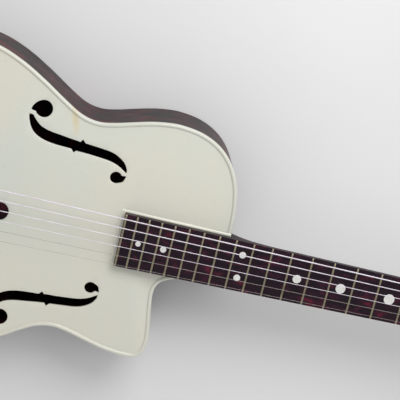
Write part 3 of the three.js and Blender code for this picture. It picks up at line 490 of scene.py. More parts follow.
def ivory_plastic():
    """Old moulded plastic, a little uneven in colour, with a yellow stain by the bass waist."""
    material, tree = new_material("ivory_plastic")
    base = ramp(tree, grey_noise(tree, (9, 6, 6)), [(0.38, ivory_cool), (0.62, ivory_warm)])
    specks = ramp(tree, grey_noise(tree, 230, detail=2), [(0.66, 0.0), (0.8, 0.25)])
    base = mix(tree, specks, base, (*speck_colour, 1))
    inputs = {
        "Vector": own_place(tree), "Location": stain_at, "Rotation": (0, 0, stain_turn),
        "Scale": stain_size,
    }
    spot = node(tree, "Mapping", inputs, vector_type="TEXTURE").outputs["Vector"]
    ball = node(tree, "TexGradient", {"Vector": spot}, gradient_type="SPHERICAL").outputs["Fac"]
    base = mix(tree, ramp(tree, ball, [(0.0, 0.0), (0.8, 0.75)]), base, (*stain_colour, 1))
    return finished(material, {
        "Base Color": base,
        "Roughness": span(tree, grey_noise(tree, 30, detail=4), 0.24, 0.36),
        "Normal": scratched(tree, 900, 0.00001),
        "Subsurface Weight": 0.06,
        "Subsurface Radius": (0.004, 0.003, 0.0015),
        "Coat Weight": 0.35,
        "Coat Roughness": 0.2,
    })


def swirled(name, scale, stops, gloss, shine):
    """Plastic with swirls of colour, drawn out along the scales."""
    material, tree = new_material(name)
    place = stretched(tree, scale)
    drift = noise(tree, place, scale=0.5, detail=2).outputs["Color"]
    inputs = {0: drift, 1: (1.6, 1.6, 1.6), 2: place}
    moved = node(tree, "VectorMath", inputs, operation="MULTIPLY_ADD").outputs["Vector"]
    swirl = noise(tree, moved, detail=5, roughness=0.55, distortion=0.8).outputs["Fac"]
    return finished(material, {
        "Base Color": ramp(tree, swirl, stops),
        "Roughness": span(tree, grey_noise(tree, 60, detail=4), *gloss),
        "Normal": scratched(tree, 700, 0.00001),
        "Specular IOR Level": shine,
    })


def inner_plastic():
    """Unpolished plastic inside the body."""
    material, tree = new_material("inner_plastic")
    cloud = grey_noise(tree, 40, detail=4)
    return finished(material, {
        "Base Color": ramp(tree, cloud, [(0.3, (0.38, 0.34, 0.25)), (0.7, (0.46, 0.42, 0.32))]),
        "Roughness": span(tree, cloud, 0.55, 0.75),
        "Normal": bump(tree, grey_noise(tree, 900, detail=2), 0.00004, 0.6),
    })


def pearl_plastic(name, light, dark):
    """Off-white plastic with a faint cloud in it."""
    material, tree = new_material(name)
    cloud = grey_noise(tree, 160, detail=4, distortion=1.5)
    return finished(material, {
        "Base Color": ramp(tree, cloud, [(0.35, dark), (0.65, light)]),
        "Roughness": span(tree, grey_noise(tree, 300), 0.18, 0.32),
        "Normal": scratched(tree, 1500, 0.000006),
        "Subsurface Weight": 0.05,
        "Subsurface Radius": (0.002, 0.0015, 0.001),
    })


def metal(name, bright, dull, gloss, tarnish_scale):
    """Old plated or drawn metal with dull patches and fine scratches."""
    material, tree = new_material(name)
    patch = grey_noise(tree, tarnish_scale, detail=6, roughness=0.6)
    return finished(material, {
        "Base Color": ramp(tree, patch, [(0.4, bright), (0.68, dull)]),
        "Roughness": span(tree, patch, *gloss),
        "Normal": scratched(tree, 2500, 0.000008),
        "Metallic": 1,
    })


def wound_wire():
    """A string wrapped in fine wire: ridges lie across its length."""
    material, tree = new_material("wound_wire")
    inputs = {"Vector": stretched(tree, (1, 0, 0)), "Scale": wrap_bands_per_metre}
    ridge = node(tree, "TexWave", inputs, bands_direction="X").outputs["Fac"]
    patch = grey_noise(tree, 60, detail=4)
    return finished(material, {
        "Base Color": ramp(tree, patch, [(0.35, (0.87, 0.82, 0.90)), (0.7, (0.72, 0.66, 0.71))]),
        "Roughness": span(tree, patch, 0.42, 0.58),
        "Normal": bump(tree, ridge, 0.00005, 0.7),
        "Metallic": 1,
    })


ivory = ivory_plastic()
marbled = swirled("marbled_plastic", (30, 30, 60), marbled_stops, (0.3, 0.42), 0.08)
board_swirl = swirled("board_plastic", (55, 130, 130), board_stops, (0.3, 0.45), 0.2)
inner = inner_plastic()
dot_white = pearl_plastic("dot_white", (0.80, 0.80, 0.77), (0.72, 0.72, 0.69))
cream = pearl_plastic("cream", (0.77, 0.72, 0.58), (0.70, 0.64, 0.49))
nickel = metal("nickel", (0.62, 0.60, 0.55), (0.42, 0.39, 0.33), (0.26, 0.48), 90)
fret_brass = metal("fret_brass", (0.45, 0.40, 0.28), (0.30, 0.26, 0.18), (0.3, 0.45), 400)
plain_steel = metal("plain_steel", (0.40, 0.36, 0.34), (0.28, 0.25, 0.23), (0.4, 0.55), 120)
wound = wound_wire()

# Body

tail_arc_shares = [0, 0.22, 0.44, 0.66, 0.84]
waist_slope_shares = [(0.22, 0.074), (0.4, 0.24), (0.58, 0.49), (0.75, 0.762), (0.88, 0.942)]
upper_rise_shares = [(0.205, 0.171), (0.416, 0.475), (0.627, 0.766), (0.813, 0.937)]
shoulder_shares = [
    (0.259, 0.024), (0.475, 0.083), (0.658, 0.177), (0.806, 0.31), (0.906, 0.466), (0.962, 0.629),
    (0.992, 0.798),
]
horn_shares = [
    (0.52, 0.99), (0.84, 0.943), (0.975, 0.875), (1, 0.8), (0.916, 0.69), (0.777, 0.56), (0.678, 0.44),
    (0.688, 0.384), (0.752, 0.348), (0.9, 0.312), (1.1, 0.29), (1.36, 0.272),
]


def plain_side(side):
    """One side of the plan, from the tail to its upper bout."""
    lower = np.array([lower_bout_at, side * lower_bout_width / 2])
    waist = np.array([waist_at, side * waist_width / 2])
    upper = np.array([upper_bout_at, side * upper_bout_width / 2])
    angles = np.array(tail_arc_shares) * math.pi / 2
    back, out = np.cos(angles) ** tail_power, np.sin(angles) ** tail_power
    tail = np.column_stack([lower[0] - (lower[0] + saddle_to_tail) * back, lower[1] * out])
    slope = between(lower, waist, waist_slope_shares)
    rise = between(waist, upper, upper_rise_shares)
    return [*tail, lower, *slope, waist, *rise, upper]


def body_outline():
    """The plan of the body, anticlockwise from the bass corner of the neck seat."""
    corner = np.array([neck_joint_at, neck_seat_width / 2])
    bass, treble = plain_side(1), plain_side(-1)
    shoulder = between(bass[-1], corner, shoulder_shares)
    horn = np.array(horn_shares) * (horn_reach, -upper_bout_width / 2) + (upper_bout_at, 0)
    root = np.array([cutaway_root_at, -neck_seat_width / 2])
    plan = [corner, *shoulder[::-1], *bass[::-1], *treble[1:], *horn, root]
    return np.vstack([smooth(plan, outline_steps), corner * (1, -1)])


outline = body_outline()
groove = inset(outline, bead_width + groove_width)
groove_level = top_rim_level + groove_height

# F-hole outlines in shares of the f-hole's length. Across is positive towards the rim.
# Each piece of the stem's edge: the steps between its points, and its points.
stem_pieces = [
    (hole_steps, [
        (-0.498, 0.204), (-0.493, 0.162), (-0.463, 0.089), (-0.416, 0.034), (-0.337, -0.006),
        (-0.225, -0.028), (-0.058, -0.037),
    ]),
    (1, [(-0.031, -0.067), (-0.012, -0.046)]),
    (hole_steps, [
        (0.104, -0.051), (0.22, -0.06), (0.324, -0.073), (0.403, -0.099), (0.462, -0.134),
        (0.489, -0.15),
    ]),
    (hole_steps, [
        (0.487, -0.117), (0.452, -0.058), (0.382, -0.008), (0.304, 0.019), (0.2, 0.031), (0.061, 0.043),
    ]),
    (1, [(0.03, 0.073), (0.013, 0.046)]),
    (hole_steps, [
        (-0.063, 0.054), (-0.174, 0.069), (-0.284, 0.084), (-0.369, 0.112), (-0.424, 0.156),
        (-0.462, 0.199),
    ]),
]
large_tail_shares = [(-0.446, 0.326), (-0.47, 0.299), (-0.486, 0.268), (-0.491, 0.243), (-0.463, 0.234)]
small_tail_shares = [(0.47, -0.237), (0.486, -0.203), (0.493, -0.174), (0.455, -0.179)]
# Each eye's centre, its radius, where its arc starts and ends in degrees, and its tail.
eyes = [
    ((-0.378, 0.273), large_eye_radius, (-152, 125), large_tail_shares),
    ((0.403, -0.207), small_eye_radius, (55, 295), small_tail_shares),
]


def f_hole_points(shares, side):
    middle = (f_hole_at, side * f_hole_spread / 2)
    return middle + np.array(shares) * (f_hole_length, side * f_hole_length)


def eye_outline(centre_share, radius, arc, tail_shares, side):
    """A round eye with a pointed tail. The last share is the inner corner of the tail."""
    centre = f_hole_points([centre_share], side)[0]
    angles = np.radians(np.linspace(*arc, eye_steps + 1))
    ring = centre + radius * np.column_stack([np.cos(angles), side * np.sin(angles)])
    tail = f_hole_points(tail_shares, side)
    outer = smooth([*ring[-2:], *tail[:-1]], hole_steps)[hole_steps + 1:]
    return np.vstack([ring, outer, tail[-1]])


def anticlockwise(points):
    return points if cross(points, np.roll(points, -1, axis=0)).sum() > 0 else points[::-1]


def f_holes():
    """The six openings of the top, each anticlockwise."""
    found = []
    for side, _ in sides:
        stem = [smooth(f_hole_points(shares, side), steps) for steps, shares in stem_pieces]
        found += [np.vstack(stem), *[eye_outline(*eye, side) for eye in eyes]]
    return [anticlockwise(points) for points in found]


# What counts as nought, as a ray's reach, and as the same point.
least_cross, least_reach, merge_distance = 1e-15, 0.999, 1e-7


def way_in(points):
    """The share of the way in from the groove to the spine at plan points."""
    spine = spine_of(points)[:, None]
    ray = points[:, None] - spine
    start = groove - spine
    edge = np.roll(groove, -1, axis=0) - groove
    turn = cross(ray, edge)
    turn = np.where(abs(turn) < least_cross, least_cross, turn)
    reach, along = cross(start, edge) / turn, cross(start, ray) / turn
    reach = np.where((along >= 0) & (along <= 1) & (reach > least_reach), reach, np.inf).min(1)
    return 1 - 1 / reach


def top_plan():
    """The plan of the top inside its groove: points, triangles and the loops of its openings."""
    free = np.vstack([towards_spine(groove, share) for share in arch_shares])
    holes = f_holes()
    lips = [inset(hole, -hole_lip) for hole in holes]
    for hole in holes:
        free = free[~inside(free, inset(hole, -4 * hole_lip))]
    loops = [groove, *holes, *lips]
    starts = np.cumsum([0] + [len(loop) for loop in loops])
    points = np.vstack([*loops, free])
    loop_ids = [list(range(start, start + len(loop))) for start, loop in zip(starts, loops)]
    edges = [edge for ids in loop_ids for edge in zip(ids, ids[1:] + ids[:1])]
    found = delaunay_2d_cdt([Vector(point) for point in points], edges, [], 1, merge_distance)
    plan, _, triangles, sources, _, _ = found
    plan, triangles = np.array(plan), np.array(triangles)
    new_ids = {source: i for i, group in enumerate(sources) for source in group}
    middles = plan[triangles].mean(1)
    empty = np.any([inside(middles, hole) for hole in holes], axis=0)
    groove_ids, *hole_ids = [[new_ids[i] for i in ids] for ids in loop_ids[:len(holes) + 1]]
    return plan, triangles[~empty].tolist(), groove_ids, hole_ids


def top_plate():
    """The moulded top: a bead round its edge, a groove, an arch and the f-holes."""
    plan, triangles, groove_ids, hole_ids = top_plan()
    share = rise_of(way_in(plan))
    upper = groove_level + (top_level - groove_level) * share
    lower = top_rim_level + (top_level - wall - top_rim_level) * share
    for loop in hole_ids:
        upper[loop] -= hole_lip_drop
    lower[groove_ids] = top_rim_level
    count = len(plan)
    rings = []
    for turn in np.linspace(0, math.pi, bead_steps + 1):
        share = (1 + math.cos(turn)) / 2
        across = rim_setback + share * (bead_width - rim_setback)
        foot = groove_height * share
        level = top_rim_level + foot + (bead_height - foot) * math.sin(turn)
        rings.append(at_level(inset(outline, across), level))
    rings.append(at_level(inset(outline, wall), top_rim_level))
    faces = triangles + [tuple(count + i for i in reversed(t)) for t in triangles]
    rim_ids = 2 * count + np.arange(len(rings) * len(outline)).reshape(len(rings), -1)
    faces += strips([groove_ids, *rim_ids.tolist(), [count + i for i in groove_ids]])
    for loop in hole_ids:
        faces += strips([loop, [count + i for i in loop]])
    points = np.concatenate([at_level(plan, upper), at_level(plan, lower), *rings])
    dress(finish_mesh("top_shell", points, faces, sharp=50), ivory, hides="top_plate")


def rounded(corners, radius, steps=5):
    """A closed outline with its corners rounded."""
    corners = np.asarray(corners, float)
    points = []
    for i, corner in enumerate(corners):
        before = unit(corners[i - 1] - corner)
        after = unit(corners[(i + 1) % len(corners)] - corner)
        start, end = corner + before * radius, corner + after * radius
        for t in np.linspace(0, 1, steps):
            points.append((1 - t) ** 2 * start + 2 * t * (1 - t) * corner + t**2 * end)
    return points


def slab(name, points, low, high):
    """A flat piece over a plan."""
    return loft(name, [at_level(points, low), at_level(points, high)])


def board_half(x):
    share = (scale_length - x) / (scale_length - board_end)
    return (nut_width + (board_end_width - nut_width) * share) / 2


def fret_at(number):
    return scale_length * 2 ** (-number / 12)


board_end = fret_at(fret_count) - board_beyond_fret


def pad_ring(end, beside, level):
    """A ring of the pad, from its end to beyond the neck joint."""
    last = neck_joint_at + pad_beyond
    far, near = board_half(end) + beside, board_half(neck_joint_at) + beside
    return at_level(rounded([(end, far), (end, -far), (last, -near), (last, near)], pad_corner), level)


def board_pad():
    """The raised pad under the end of the fingerboard, with sloping sides and a step at its end."""
    end = board_end - pad_beyond
    tread = pad_level - pad_step
    upper = pad_beside - pad_slope
    rings = [
        pad_ring(end, pad_beside, pad_root), pad_ring(end, pad_beside, tread - pad_slope_drop),
        pad_ring(end + pad_slope, upper, tread), pad_ring(end + pad_step_reach, upper, tread),
        pad_ring(end + pad_step_reach, upper, pad_level),
    ]
    pad = loft("board_pad", rings)
    limit = slab("pad_limit", inset(outline, rim_setback + rim_gap), pad_root - wall, pad_level + wall)
    carve(pad, limit, "INTERSECT")
    round_edges(pad, usual_edge, 3)
    dress(pad, ivory)


def side_wall():
    """The wall round the body."""
    outer, inner_line = inset(outline, rim_setback), inset(outline, wall)
    low, high = back_rim_level + rim_gap, top_rim_level - rim_gap
    corners = [(outer, low), (outer, high), (inner_line, high), (inner_line, low)]
    side = loft("side_wall", [at_level(*corner) for corner in corners], closed=True)
    round_edges(side, soft_edge)
    dress(side, marbled, hides="rim_sides")


def arch(points, rim_level, flat_level):
    """Rings of an arch from its rim to its flat."""
    return [
        at_level(towards_spine(points, share), rim_level + (flat_level - rim_level) * rise_of(share))
        for share in arch_shares
    ]


def back_plate():
    """The arched back with a rounded edge."""
    edge_level = back_rim_level - back_edge_height
    inner_edge = inset(outline, wall)
    rings = arch(inset(outline, back_edge_round), edge_level, 0)[::-1]
    for up, across in quarter(5):
        line = inset(outline, rim_setback + (back_edge_round - rim_setback) * across)
        rings.append(at_level(line, edge_level + back_edge_round * up / 2))
    rings += [at_level(line, back_rim_level) for line in (inset(outline, rim_setback), inner_edge)]
    rings += arch(inner_edge, back_rim_level, wall)
    dress(loft("back_shell", rings, sharp=50), marbled, hides="back_plate")


def centre_button():
    """The round dark button on the top."""
    foot = top_level + rim_gap
    top = foot + button_rise
    pin = [(button_pin_radius, foot - button_pin_depth), (button_pin_radius, foot)]
    profile = [*pin, (button_radius, foot)]
    for across, down in quarter(7):
        profile.append((button_radius - button_edge * across, top - button_edge * down - button_crown))
    profile += [(button_radius / 2, top - button_crown / 3), (0, top)]
    knob = placed(lathe("centre_knob", profile, 48), Matrix.Translation((button_at, 0, 0)))
    dress(knob, marbled, hides="centre_button")


top_plate()
board_pad()
side_wall()
back_plate()
centre_button()
for name in ("neck_block", "tail_block", "tone_bar_bass", "tone_bar_treble", "back_brace"):
    repaint(name, inner, broad_edge)

# Neck

head_place = Matrix.Translation((head_start, 0, neck_top)) @ Matrix.Rotation(head_tilt, 4, "Y")
head_side_shares = [
    (0.03, 0.6), (0.07, 0.66), (0.13, 0.77), (0.21, 0.86), (0.5, 0.92), (0.82, 1), (0.93, 0.97),
    (0.975, 0.8), (1, 0.45), (0.99, 0.2), (0.98, 0),
]
# Along the heel, and how much of its depth and width beyond the neck's own is left there.
heel_shares = [
    (0, 1, 1), (0.08, 0.86, 0.97), (0.22, 0.62, 0.9), (0.4, 0.36, 0.72), (0.65, 0.13, 0.4), (1, 0, 0),
]


def neck_section(half, depth, power):
    """The rounded section of a neck, flat on top: a low power makes it squarer."""
    angles = np.linspace(0, math.pi, section_steps + 1)
    across = -np.sign(np.cos(angles)) * abs(np.cos(angles)) ** power
    down = np.maximum(np.sin(angles), 0) ** power
    return np.column_stack([half * across, -depth * down])


def neck_ring(x, half, depth, power):
    section = neck_section(half, depth, power)
    return in_space(x, section[:, 0], neck_top + section[:, 1])


def head_slab():
    """The flat of the headstock with rounded edges, in its own frame."""
    bass = smooth(np.array(head_side_shares) * (head_length, head_width / 2), head_steps)
    whole = np.vstack([bass[:-1] * (1, -1), bass[::-1]])
    back = [(head_edge * across, head_edge * up - head_thickness) for across, up in quarter(4)[::-1]]
    front = [(head_edge / 4 * across, -head_edge / 4 * down) for across, down in quarter(3)]
    return loft("head_slab", [at_level(inset(whole, across), level) for across, level in back + front])


def tongue():
    """The neck's end over the body, under the fingerboard."""
    start, end = board_end + fret_inset, neck_start + wall
    near, far = board_half(end) - fret_inset, board_half(start) - fret_inset
    corners = [(start, -far), (end, -near), (end, near), (start, far)]
    return slab("tongue", corners, tongue_foot, neck_top)


# The six post places with their sides, from the bass string to the treble string.
head_posts = [
    (side, along, side * post_spread / 2)
    for side, row in ((1, post_places), (-1, post_places[::-1]))
    for along in row
]


def head_spot(along, across, level=0):
    """A place in the headstock's frame."""
    return head_place @ Matrix.Translation((along, across, level))


def neck():
    """The neck from its heel to the end of its headstock."""
    stations = []
    for along, deep, wide in heel_shares:
        x = neck_start + along * heel_length
        side = board_half(x) - fret_inset
        half = side + (heel_width / 2 - side) * wide
        depth = neck_depths["body"] + (heel_depth - neck_depths["body"]) * deep
        stations.append((x, half, depth, neck_powers["heel"]))
    middle = (neck_start + scale_length) / 2
    nut_half = nut_width / 2 - fret_inset
    stations = [
        *smooth(stations, heel_steps),
        (middle, board_half(middle) - fret_inset, neck_depths["middle"], neck_powers["middle"]),
        (scale_length, nut_half, neck_depths["nut"], neck_powers["nut"]),
        (head_start, nut_half, neck_depths["nut"], neck_powers["head_start"]),
    ]
    rings = [neck_ring(*station) for station in stations]
    head_half = (head_side_shares[1][1] * head_width - head_edge) / 2
    section = neck_section(head_half, head_thickness - head_edge / 2, neck_powers["head"])
    rings.append([head_place @ Vector((head_blend, across, down)) for across, down in section])
    shaft = loft("neck_shaft", rings, sharp=40)
    carve(shaft, placed(head_slab(), head_place), "UNION")
    carve(shaft, tongue(), "UNION")
    for _, along, across in head_posts:
        bore = lathe("bore", [(post_radius + rim_gap, bore_low), (post_radius + rim_gap, bore_high)], 24)
        carve(shaft, placed(bore, head_spot(along, across)))
    dress(shade(shaft, 40), marbled, hides="neck")


def fret(number):
    """A fret: a rounded crown with sloped ends on a tang."""
    x = fret_at(number)
    foot = board_level + fret_foot_rise
    turns = np.linspace(0, math.pi, fret_crown_steps)
    rise = np.sin(turns) ** fret_crown_power * (fret_level - foot)
    crown = np.column_stack([np.cos(turns) * fret_width / 2, rise])
    side = tang_width / 2
    tang = [(-side, 0), (-side, -tang_depth), (side, -tang_depth), (side, 0)]
    half = board_half(x) - fret_inset
    slope = [
        (half - fret_end * back, max(1 - drop, fret_end_height))
        for drop, back in quarter(fret_end_steps)
    ]
    rings = []
    for y, size in [(-y, size) for y, size in slope[::-1]] + slope:
        section = np.vstack([crown * (fret_end_width + (1 - fret_end_width) * size, size), tang])
        rings.append(in_space(x + section[:, 0], y, foot + section[:, 1]))
    dress(loft(f"fret_wire_{number:02d}", rings, sharp=50), fret_brass, hides=f"fret_{number:02d}")


# The space before each fret that has dots: the dot's radius, and how many dots.
dots = {
    3: (0.0059, 1), 5: (0.00575, 1), 7: (0.0053, 1), 9: (0.0046, 1), 12: (0.0036, 2), 17: (0.0033, 1),
    19: (0.0028, 1),
}


def dot(number, radius, across, name):
    """A white disc let into the fingerboard."""
    x = (fret_at(number) + fret_at(number - 1)) / 2
    low, high = board_level - dot_depth, board_level + dot_rise
    edge = radius * dot_edge_share
    profile = [(0, low), (radius, low), (radius, high - dot_rise / 2), (edge, high), (0, high)]
    dress(placed(lathe(name, profile, 40), Matrix.Translation((x, across, 0))), dot_white)


neck()
repaint("fingerboard", board_swirl, fine_edge)
repaint("nut", cream, fine_edge)
repaint("headstock_face", ivory, soft_edge)
for number in range(1, fret_count + 1):
    fret(number)
for number, (radius, count) in dots.items():
    for i in range(count):
        across = (i - (count - 1) / 2) * dot_spread
        dot(number, radius, across, f"dot_{number:02d}_{i + 1}")

# Strings


def winding_top(i):
    """The level of the top of a string's winding, over the headstock."""
    return winding_foot + winding_turns * (string_sizes[i] + winding_pitch_gap)


def string_path(i):
    """The middle line of a string, from its ball to the end of its winding."""
    radius = string_sizes[i] / 2
    share = 0.5 - i / (len(string_sizes) - 1)
    at_saddle = np.array([0, share * spread_at_saddle, fret_level + height_at_saddle + radius])
    nut_level = fret_level + height_at_nut + radius
    at_nut = np.array([scale_length + nut_touch, share * spread_at_nut, nut_level])
    side, along, across = head_posts[i]
    reach = post_radius + rim_gap + radius
    turns = np.arange(round(winding_turns * loop_steps) + 1) / loop_steps
    angles = side * (2 * turns - 0.5) * math.pi
    levels = winding_foot + (winding_top(i) - winding_foot) * turns / winding_turns
    points = in_space(along + reach * np.cos(angles), across + reach * np.sin(angles), levels)
    winding = [np.array(head_place @ Vector(point)) for point in points]
    start = np.array([tail_bar_at - rim_gap, at_saddle[1], ball_level])
    bar = start + (tail_bar_depth + rim_gap, 0, 0)
    tie = bar + unit(at_saddle - bar) * tie_length
    return [start, bar, tie, at_saddle, at_nut, *winding]


# The ball's radius and how far along it lies, in shares.
ball_shares = [(0.75, 0), (1, 0.2), (0.8, 0.5), (1, 0.8), (0.75, 1)]


def string(i):
    """One whole string with its ball."""
    radius = string_sizes[i] / 2
    path = string_path(i)
    fine, radii = [path[0]], [radius + tie_extra]
    for k in range(1, len(path)):
        for t in np.linspace(0, 1, stretch_steps.get(k, 1) + 1)[1:]:
            fine.append(path[k - 1] + (path[k] - path[k - 1]) * t)
            radii.append(radius + tie_extra if k <= tie_stretches else radius)
    piece = tube(f"wire_{i + 1}", fine, radii, string_sides)
    dress(piece, wound if i < wound_strings else plain_steel, hides=f"string_{i + 1}")
    profile = np.array(ball_shares) * (ball_radius, ball_length)
    place = Matrix.Translation(path[0] - (ball_length, 0, 0)) @ lie_down
    dress(placed(lathe(f"ball_{i + 1}", profile, 20), place), fret_brass)


for i in range(len(string_sizes)):
    string(i)

# Bridge

base_end_shares = [(0.25, 1), (0.6, 0.93), (0.85, 0.8), (1, 0.5)]


def bridge_foot():
    """The foot of the bridge, with rounded ends and edges."""
    corner = np.array(base_end_shares) * (base_width / 2, base_length / 2)
    right = np.vstack([corner * (1, -1), corner[::-1]])
    plan = smooth(np.vstack([right, -right, right[:1]]), base_steps)[:-1]
    rings = [at_level(plan, base_foot)]
    for across, down in quarter(6):
        rings.append(at_level(inset(plan, base_round * across), base_top - base_round * down))
    dress(loft("bridge_foot", rings), marbled, hides="bridge_base")


def stud_place(side):
    return Matrix.Translation((0, side * stud_spread / 2, 0))


def stud(side, name):
    """A threaded stud of the bridge."""
    core = stud_radius - stud_groove
    profile = [(core, base_top - stud_foot)]
    level = base_top - stud_foot / 2
    while level < stud_top - stud_pitch:
        profile += [(stud_radius, level), (core, level + stud_pitch / 2)]
        level += stud_pitch
    profile += [(core, stud_top - stud_tip), (core - stud_groove, stud_top)]
    dress(placed(lathe(name, profile, 20, sharp=60), stud_place(side)), nickel)


def thumbwheel(side, name, node_name):
    """A knurled wheel with a bore and chamfered faces."""
    round_line = circle(2 * wheel_teeth)
    knurl = np.arange(len(round_line)) % 2 * wheel_knurl
    rim = round_line * (wheel_radius - knurl)[:, None]
    flat = round_line * (wheel_radius - wheel_knurl - wheel_flat_inset)
    bore = round_line * wheel_bore
    low, high = wheel_foot, wheel_foot + wheel_thickness
    corners = [
        (bore, low), (flat, low), (rim, low + wheel_edge), (rim, high - wheel_edge), (flat, high),
        (bore, high),
    ]
    wheel = loft(name, [at_level(*corner) for corner in corners], closed=True, sharp=25)
    dress(placed(wheel, stud_place(side)), nickel, body=node_name, hides=node_name)


bridge_foot()
for side, side_name in sides:
    stud(side, f"stud_{side_name}")
    thumbwheel(side, f"height_wheel_{side_name}", f"thumbwheel_{side_name}")
repaint("bridge_saddle", marbled, soft_edge)
repaint("tailpiece", nickel, soft_edge)
repaint("tail_bracket", nickel, usual_edge)

# Along the pin from its outer end, and how far it swells from its neck to its head.
pin_shares = [
    (0, 0.35), (0.04, 0.7), (0.12, 0.95), (0.22, 1), (0.32, 0.92), (0.42, 0.55), (0.5, 0.15), (0.6, 0),
    (0.75, 0), (0.88, 0.2), (1, 0.7),
]


def end_pin():
    """The pin at the tail that a strap hooks over."""
    profile = [(0, -end_pin_length)]
    for along, out in smooth(pin_shares, end_pin_steps):
        radius = end_pin_neck + (end_pin_head - end_pin_neck) * out
        profile.append((radius, (along - 1) * end_pin_length))
    profile += [(shank_radius, 0), (shank_radius, shank_length), (0, shank_length)]
    place = Matrix.Translation((end_pin_seat, 0, end_pin_level)) @ lie_down
    dress(placed(lathe("strap_pin", profile, 32), place), cream, hides="end_pin")


end_pin()

# Tuning machine


def gear_outline():
    outer, root = gear_pitch_radius + gear_addendum, gear_pitch_radius - gear_dedendum
    points = []
    for tooth in range(gear_teeth):
        middle = 2 * math.pi * tooth / gear_teeth
        for radius, across in (
            (root, -gear_root_width / 2), (outer, -gear_tip_width / 2), (outer, gear_tip_width / 2),
            (root, gear_root_width / 2),
        ):
            angle = middle + across / radius
            points.append((radius * math.cos(angle), radius * math.sin(angle)))
    return points


def tuner_post(i):
    """A post with its cross hole, its gear and the screw that holds the gear."""
    _, along, across = head_posts[i]
    top = winding_top(i)
    waist = post_radius - post_waist
    low = gear_level - gear_thickness / 2
    head = low - gear_screw_height
    profile = [
        (0, head), (gear_screw_radius - gear_screw_edge, head),
        (gear_screw_radius, (low + head) / 2), (gear_screw_radius, low), (post_radius, low),
        (post_radius, winding_foot - winding_pitch_gap), (waist, winding_foot), (waist, top),
        (post_radius, post_top - 2 * post_waist), (post_radius - post_waist / 3, post_top - post_waist),
        (waist, post_top), (0, post_top),
    ]
    post = lathe(f"string_post_{i + 1}", profile, 28)
    gear = slab("gear", gear_outline(), low, gear_level + gear_thickness / 2)
    carve(post, gear, "UNION")
    hole = lathe("hole", [(post_hole_radius, -2 * post_radius), (post_hole_radius, 2 * post_radius)], 12)
    carve(post, placed(hole, Matrix.Translation((0, 0, top)) @ lie_down))
    body = f"tuner_post_{i + 1}"
    dress(placed(shade(post), head_spot(along, across)), nickel, body=body, hides=body)


def worm_thread():
    """The worm's thread along Z, with a gap of the gear's tooth towards +X at its middle."""
    pitch = 2 * math.pi * gear_pitch_radius / gear_teeth
    steps = round(worm_length / pitch * thread_steps)
    buried = worm_core - worm_crest_width / 2
    section = [
        (buried, worm_root_width / 2), (worm_crest, worm_crest_width / 2),
        (worm_crest, -worm_crest_width / 2), (buried, -worm_root_width / 2),
    ]
    rings = []
    for k in range(steps + 1):
        along = worm_length * (k / steps - 0.5)
        angle = 2 * math.pi * (along / pitch - 0.5)
        rings.append([(r * math.cos(angle), r * math.sin(angle), along + axial) for r, axial in section])
    return loft("worm", rings)


button_shares = [(0.55, 1), (0.8, 0.94), (0.92, 0.78), (0.98, 0.5), (1, 0.2)]


def tuner_key(i):
    """A tuning key: a metal shaft with its worm, and a plastic button."""
    side, along, across = head_posts[i]
    # In the key's own frame +Z runs along the shaft, and +X points to the gear.
    axes = Matrix(((-1, 0, 0), (0, 0, 1), (0, 1, 0))).to_4x4()
    place = head_spot(along + centre_distance, across, gear_level) @ axes
    body = f"tuner_key_{i + 1}"
    core_half = worm_length / 2 + worm_root_width
    collar, outer = key_reach - key_collar_length, key_reach + key_collar_overlap
    profile = [
        (0, -lug_reach), (key_shaft_radius, -lug_reach), (key_shaft_radius, -core_half),
        (worm_core, -core_half), (worm_core, core_half), (key_shaft_radius, core_half),
        (key_shaft_radius, collar), (key_collar_radius, collar + key_collar_edge),
        (key_collar_radius, outer), (0, outer),
    ]
    shaft = lathe(f"key_shaft_{i + 1}", [(radius, side * level) for radius, level in profile], 24)
    carve(shaft, worm_thread(), "UNION")
    dress(placed(shade(shaft), place), nickel, body=body)
    round_line = circle(40) * (button_width / 2, button_length / 2)
    centre = side * (key_reach + button_length / 2)
    rings = []
    for size, share in [(size, -share) for size, share in button_shares] + button_shares[::-1]:
        across, along_shaft = (round_line * size).T
        rings.append(in_space(across, share * button_thickness / 2, centre + along_shaft))
    dress(placed(loft(f"key_button_{i + 1}", rings, sharp=50), place), cream, body=body, hides=body)


def screw(name, place):
    """A round screw head with a slot, standing along +Z of its place."""
    profile = [(0, -screw_foot), (screw_radius, -screw_foot), (screw_radius, 0)]
    for across, down in quarter(6):
        level = screw_height - (screw_height - screw_rim) * down
        profile.append((screw_radius * (1 - across), level))
    head = lathe(name, profile, 24)
    half = screw_slot / 2
    corners = [(-slot_reach, -half), (slot_reach, -half), (slot_reach, half), (-slot_reach, half)]
    carve(head, slab("slot", corners, screw_height / 2, 2 * screw_height))
    dress(placed(shade(head), place), nickel)


def ferrule(name, along, across):
    """The metal ring round a post on the face of the headstock."""
    inner_radius, top = post_radius + ferrule_gap, face_top + ferrule_height
    profile = [
        (inner_radius, face_top), (ferrule_radius, face_top),
        (ferrule_radius, face_top + ferrule_edge_rise), (ferrule_radius - ferrule_edge, top),
        (inner_radius, top),
    ]
    dress(placed(lathe(name, profile, 32, closed=True), head_spot(along, across)), nickel)


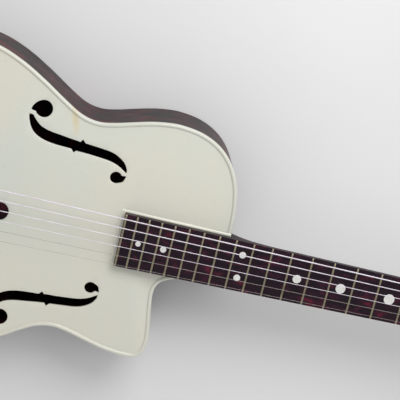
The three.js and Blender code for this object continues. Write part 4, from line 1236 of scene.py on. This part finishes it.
for i, (_, along, across) in enumerate(head_posts):
    tuner_post(i)
    tuner_key(i)
    ferrule(f"ferrule_{i + 1}", along, across)
for side, side_name in sides:
    repaint(f"tuner_plate_{side_name}", nickel, fine_edge)
    for k, along in enumerate(screw_places, 1):
        turn = Matrix.Rotation(math.pi, 4, "X") @ Matrix.Rotation(k * screw_turn, 4, "Z")
        foot = head_spot(along, side * post_spread / 2, plate_back)
        screw(f"plate_screw_{side_name}_{k}", foot @ turn)

# Floor, lamps and camera

floor_half, floor_level = 20, -0.0002
lens_length, sensor_width, farthest = 117.29, 36, 50
camera_at = (0.13579, 0.37886, 1.40126)
camera_turn = (-14.6267, -2.4974, 13.7226)
guitar_middle = (0.2, 0, 0.08)


def floor():
    """A plain pale floor."""
    corners = [
        (x * floor_half, y * floor_half, floor_level) for x, y in ((-1, -1), (1, -1), (1, 1), (-1, 1))
    ]
    piece = finish_mesh("floor", corners, [(0, 1, 2, 3)])
    material, tree = new_material("floor_paper")
    colour = ramp(tree, grey_noise(tree, 3, detail=2), [(0.3, 0.77), (0.7, 0.8)])
    finished(material, {"Base Color": colour, "Roughness": 0.9, "Specular IOR Level": 0.1})
    piece.data.materials.append(material)


def area_lamp(name, place, target, size, power):
    """A soft lamp that faces a point."""
    lamp = bpy.data.lights.new(name, "AREA")
    lamp.size = size
    lamp.energy = power
    holder = add_object(name, lamp)
    holder.location = place
    holder.rotation_euler = (Vector(target) - Vector(place)).to_track_quat("-Z", "Y").to_euler()


def world_light(strength):
    world = bpy.data.worlds.new("studio")
    world.use_nodes = True
    background = world.node_tree.nodes["Background"]
    background.inputs["Color"].default_value = (1, 1, 1, 1)
    background.inputs["Strength"].default_value = strength
    bpy.context.scene.world = world


def camera():
    """The camera at the photograph's angle."""
    lens = bpy.data.cameras.new("camera")
    lens.lens = lens_length
    lens.sensor_width = sensor_width
    lens.clip_end = farthest
    holder = add_object("camera", lens)
    holder.location = camera_at
    holder.rotation_euler = [math.radians(angle) for angle in camera_turn]
    bpy.context.scene.camera = holder


floor()
area_lamp("key_lamp", (0.45, 0.95, 1.0), guitar_middle, 0.7, 9)
area_lamp("fill_lamp", (0.0, -1.5, 0.5), guitar_middle, 0.9, 3)
area_lamp("end_lamp", (1.3, 0.9, 1.7), (0.3, 0, 0.08), 1.4, 8)
world_light(0.5)
camera()
bpy.context.scene.view_settings.view_transform = "Standard"
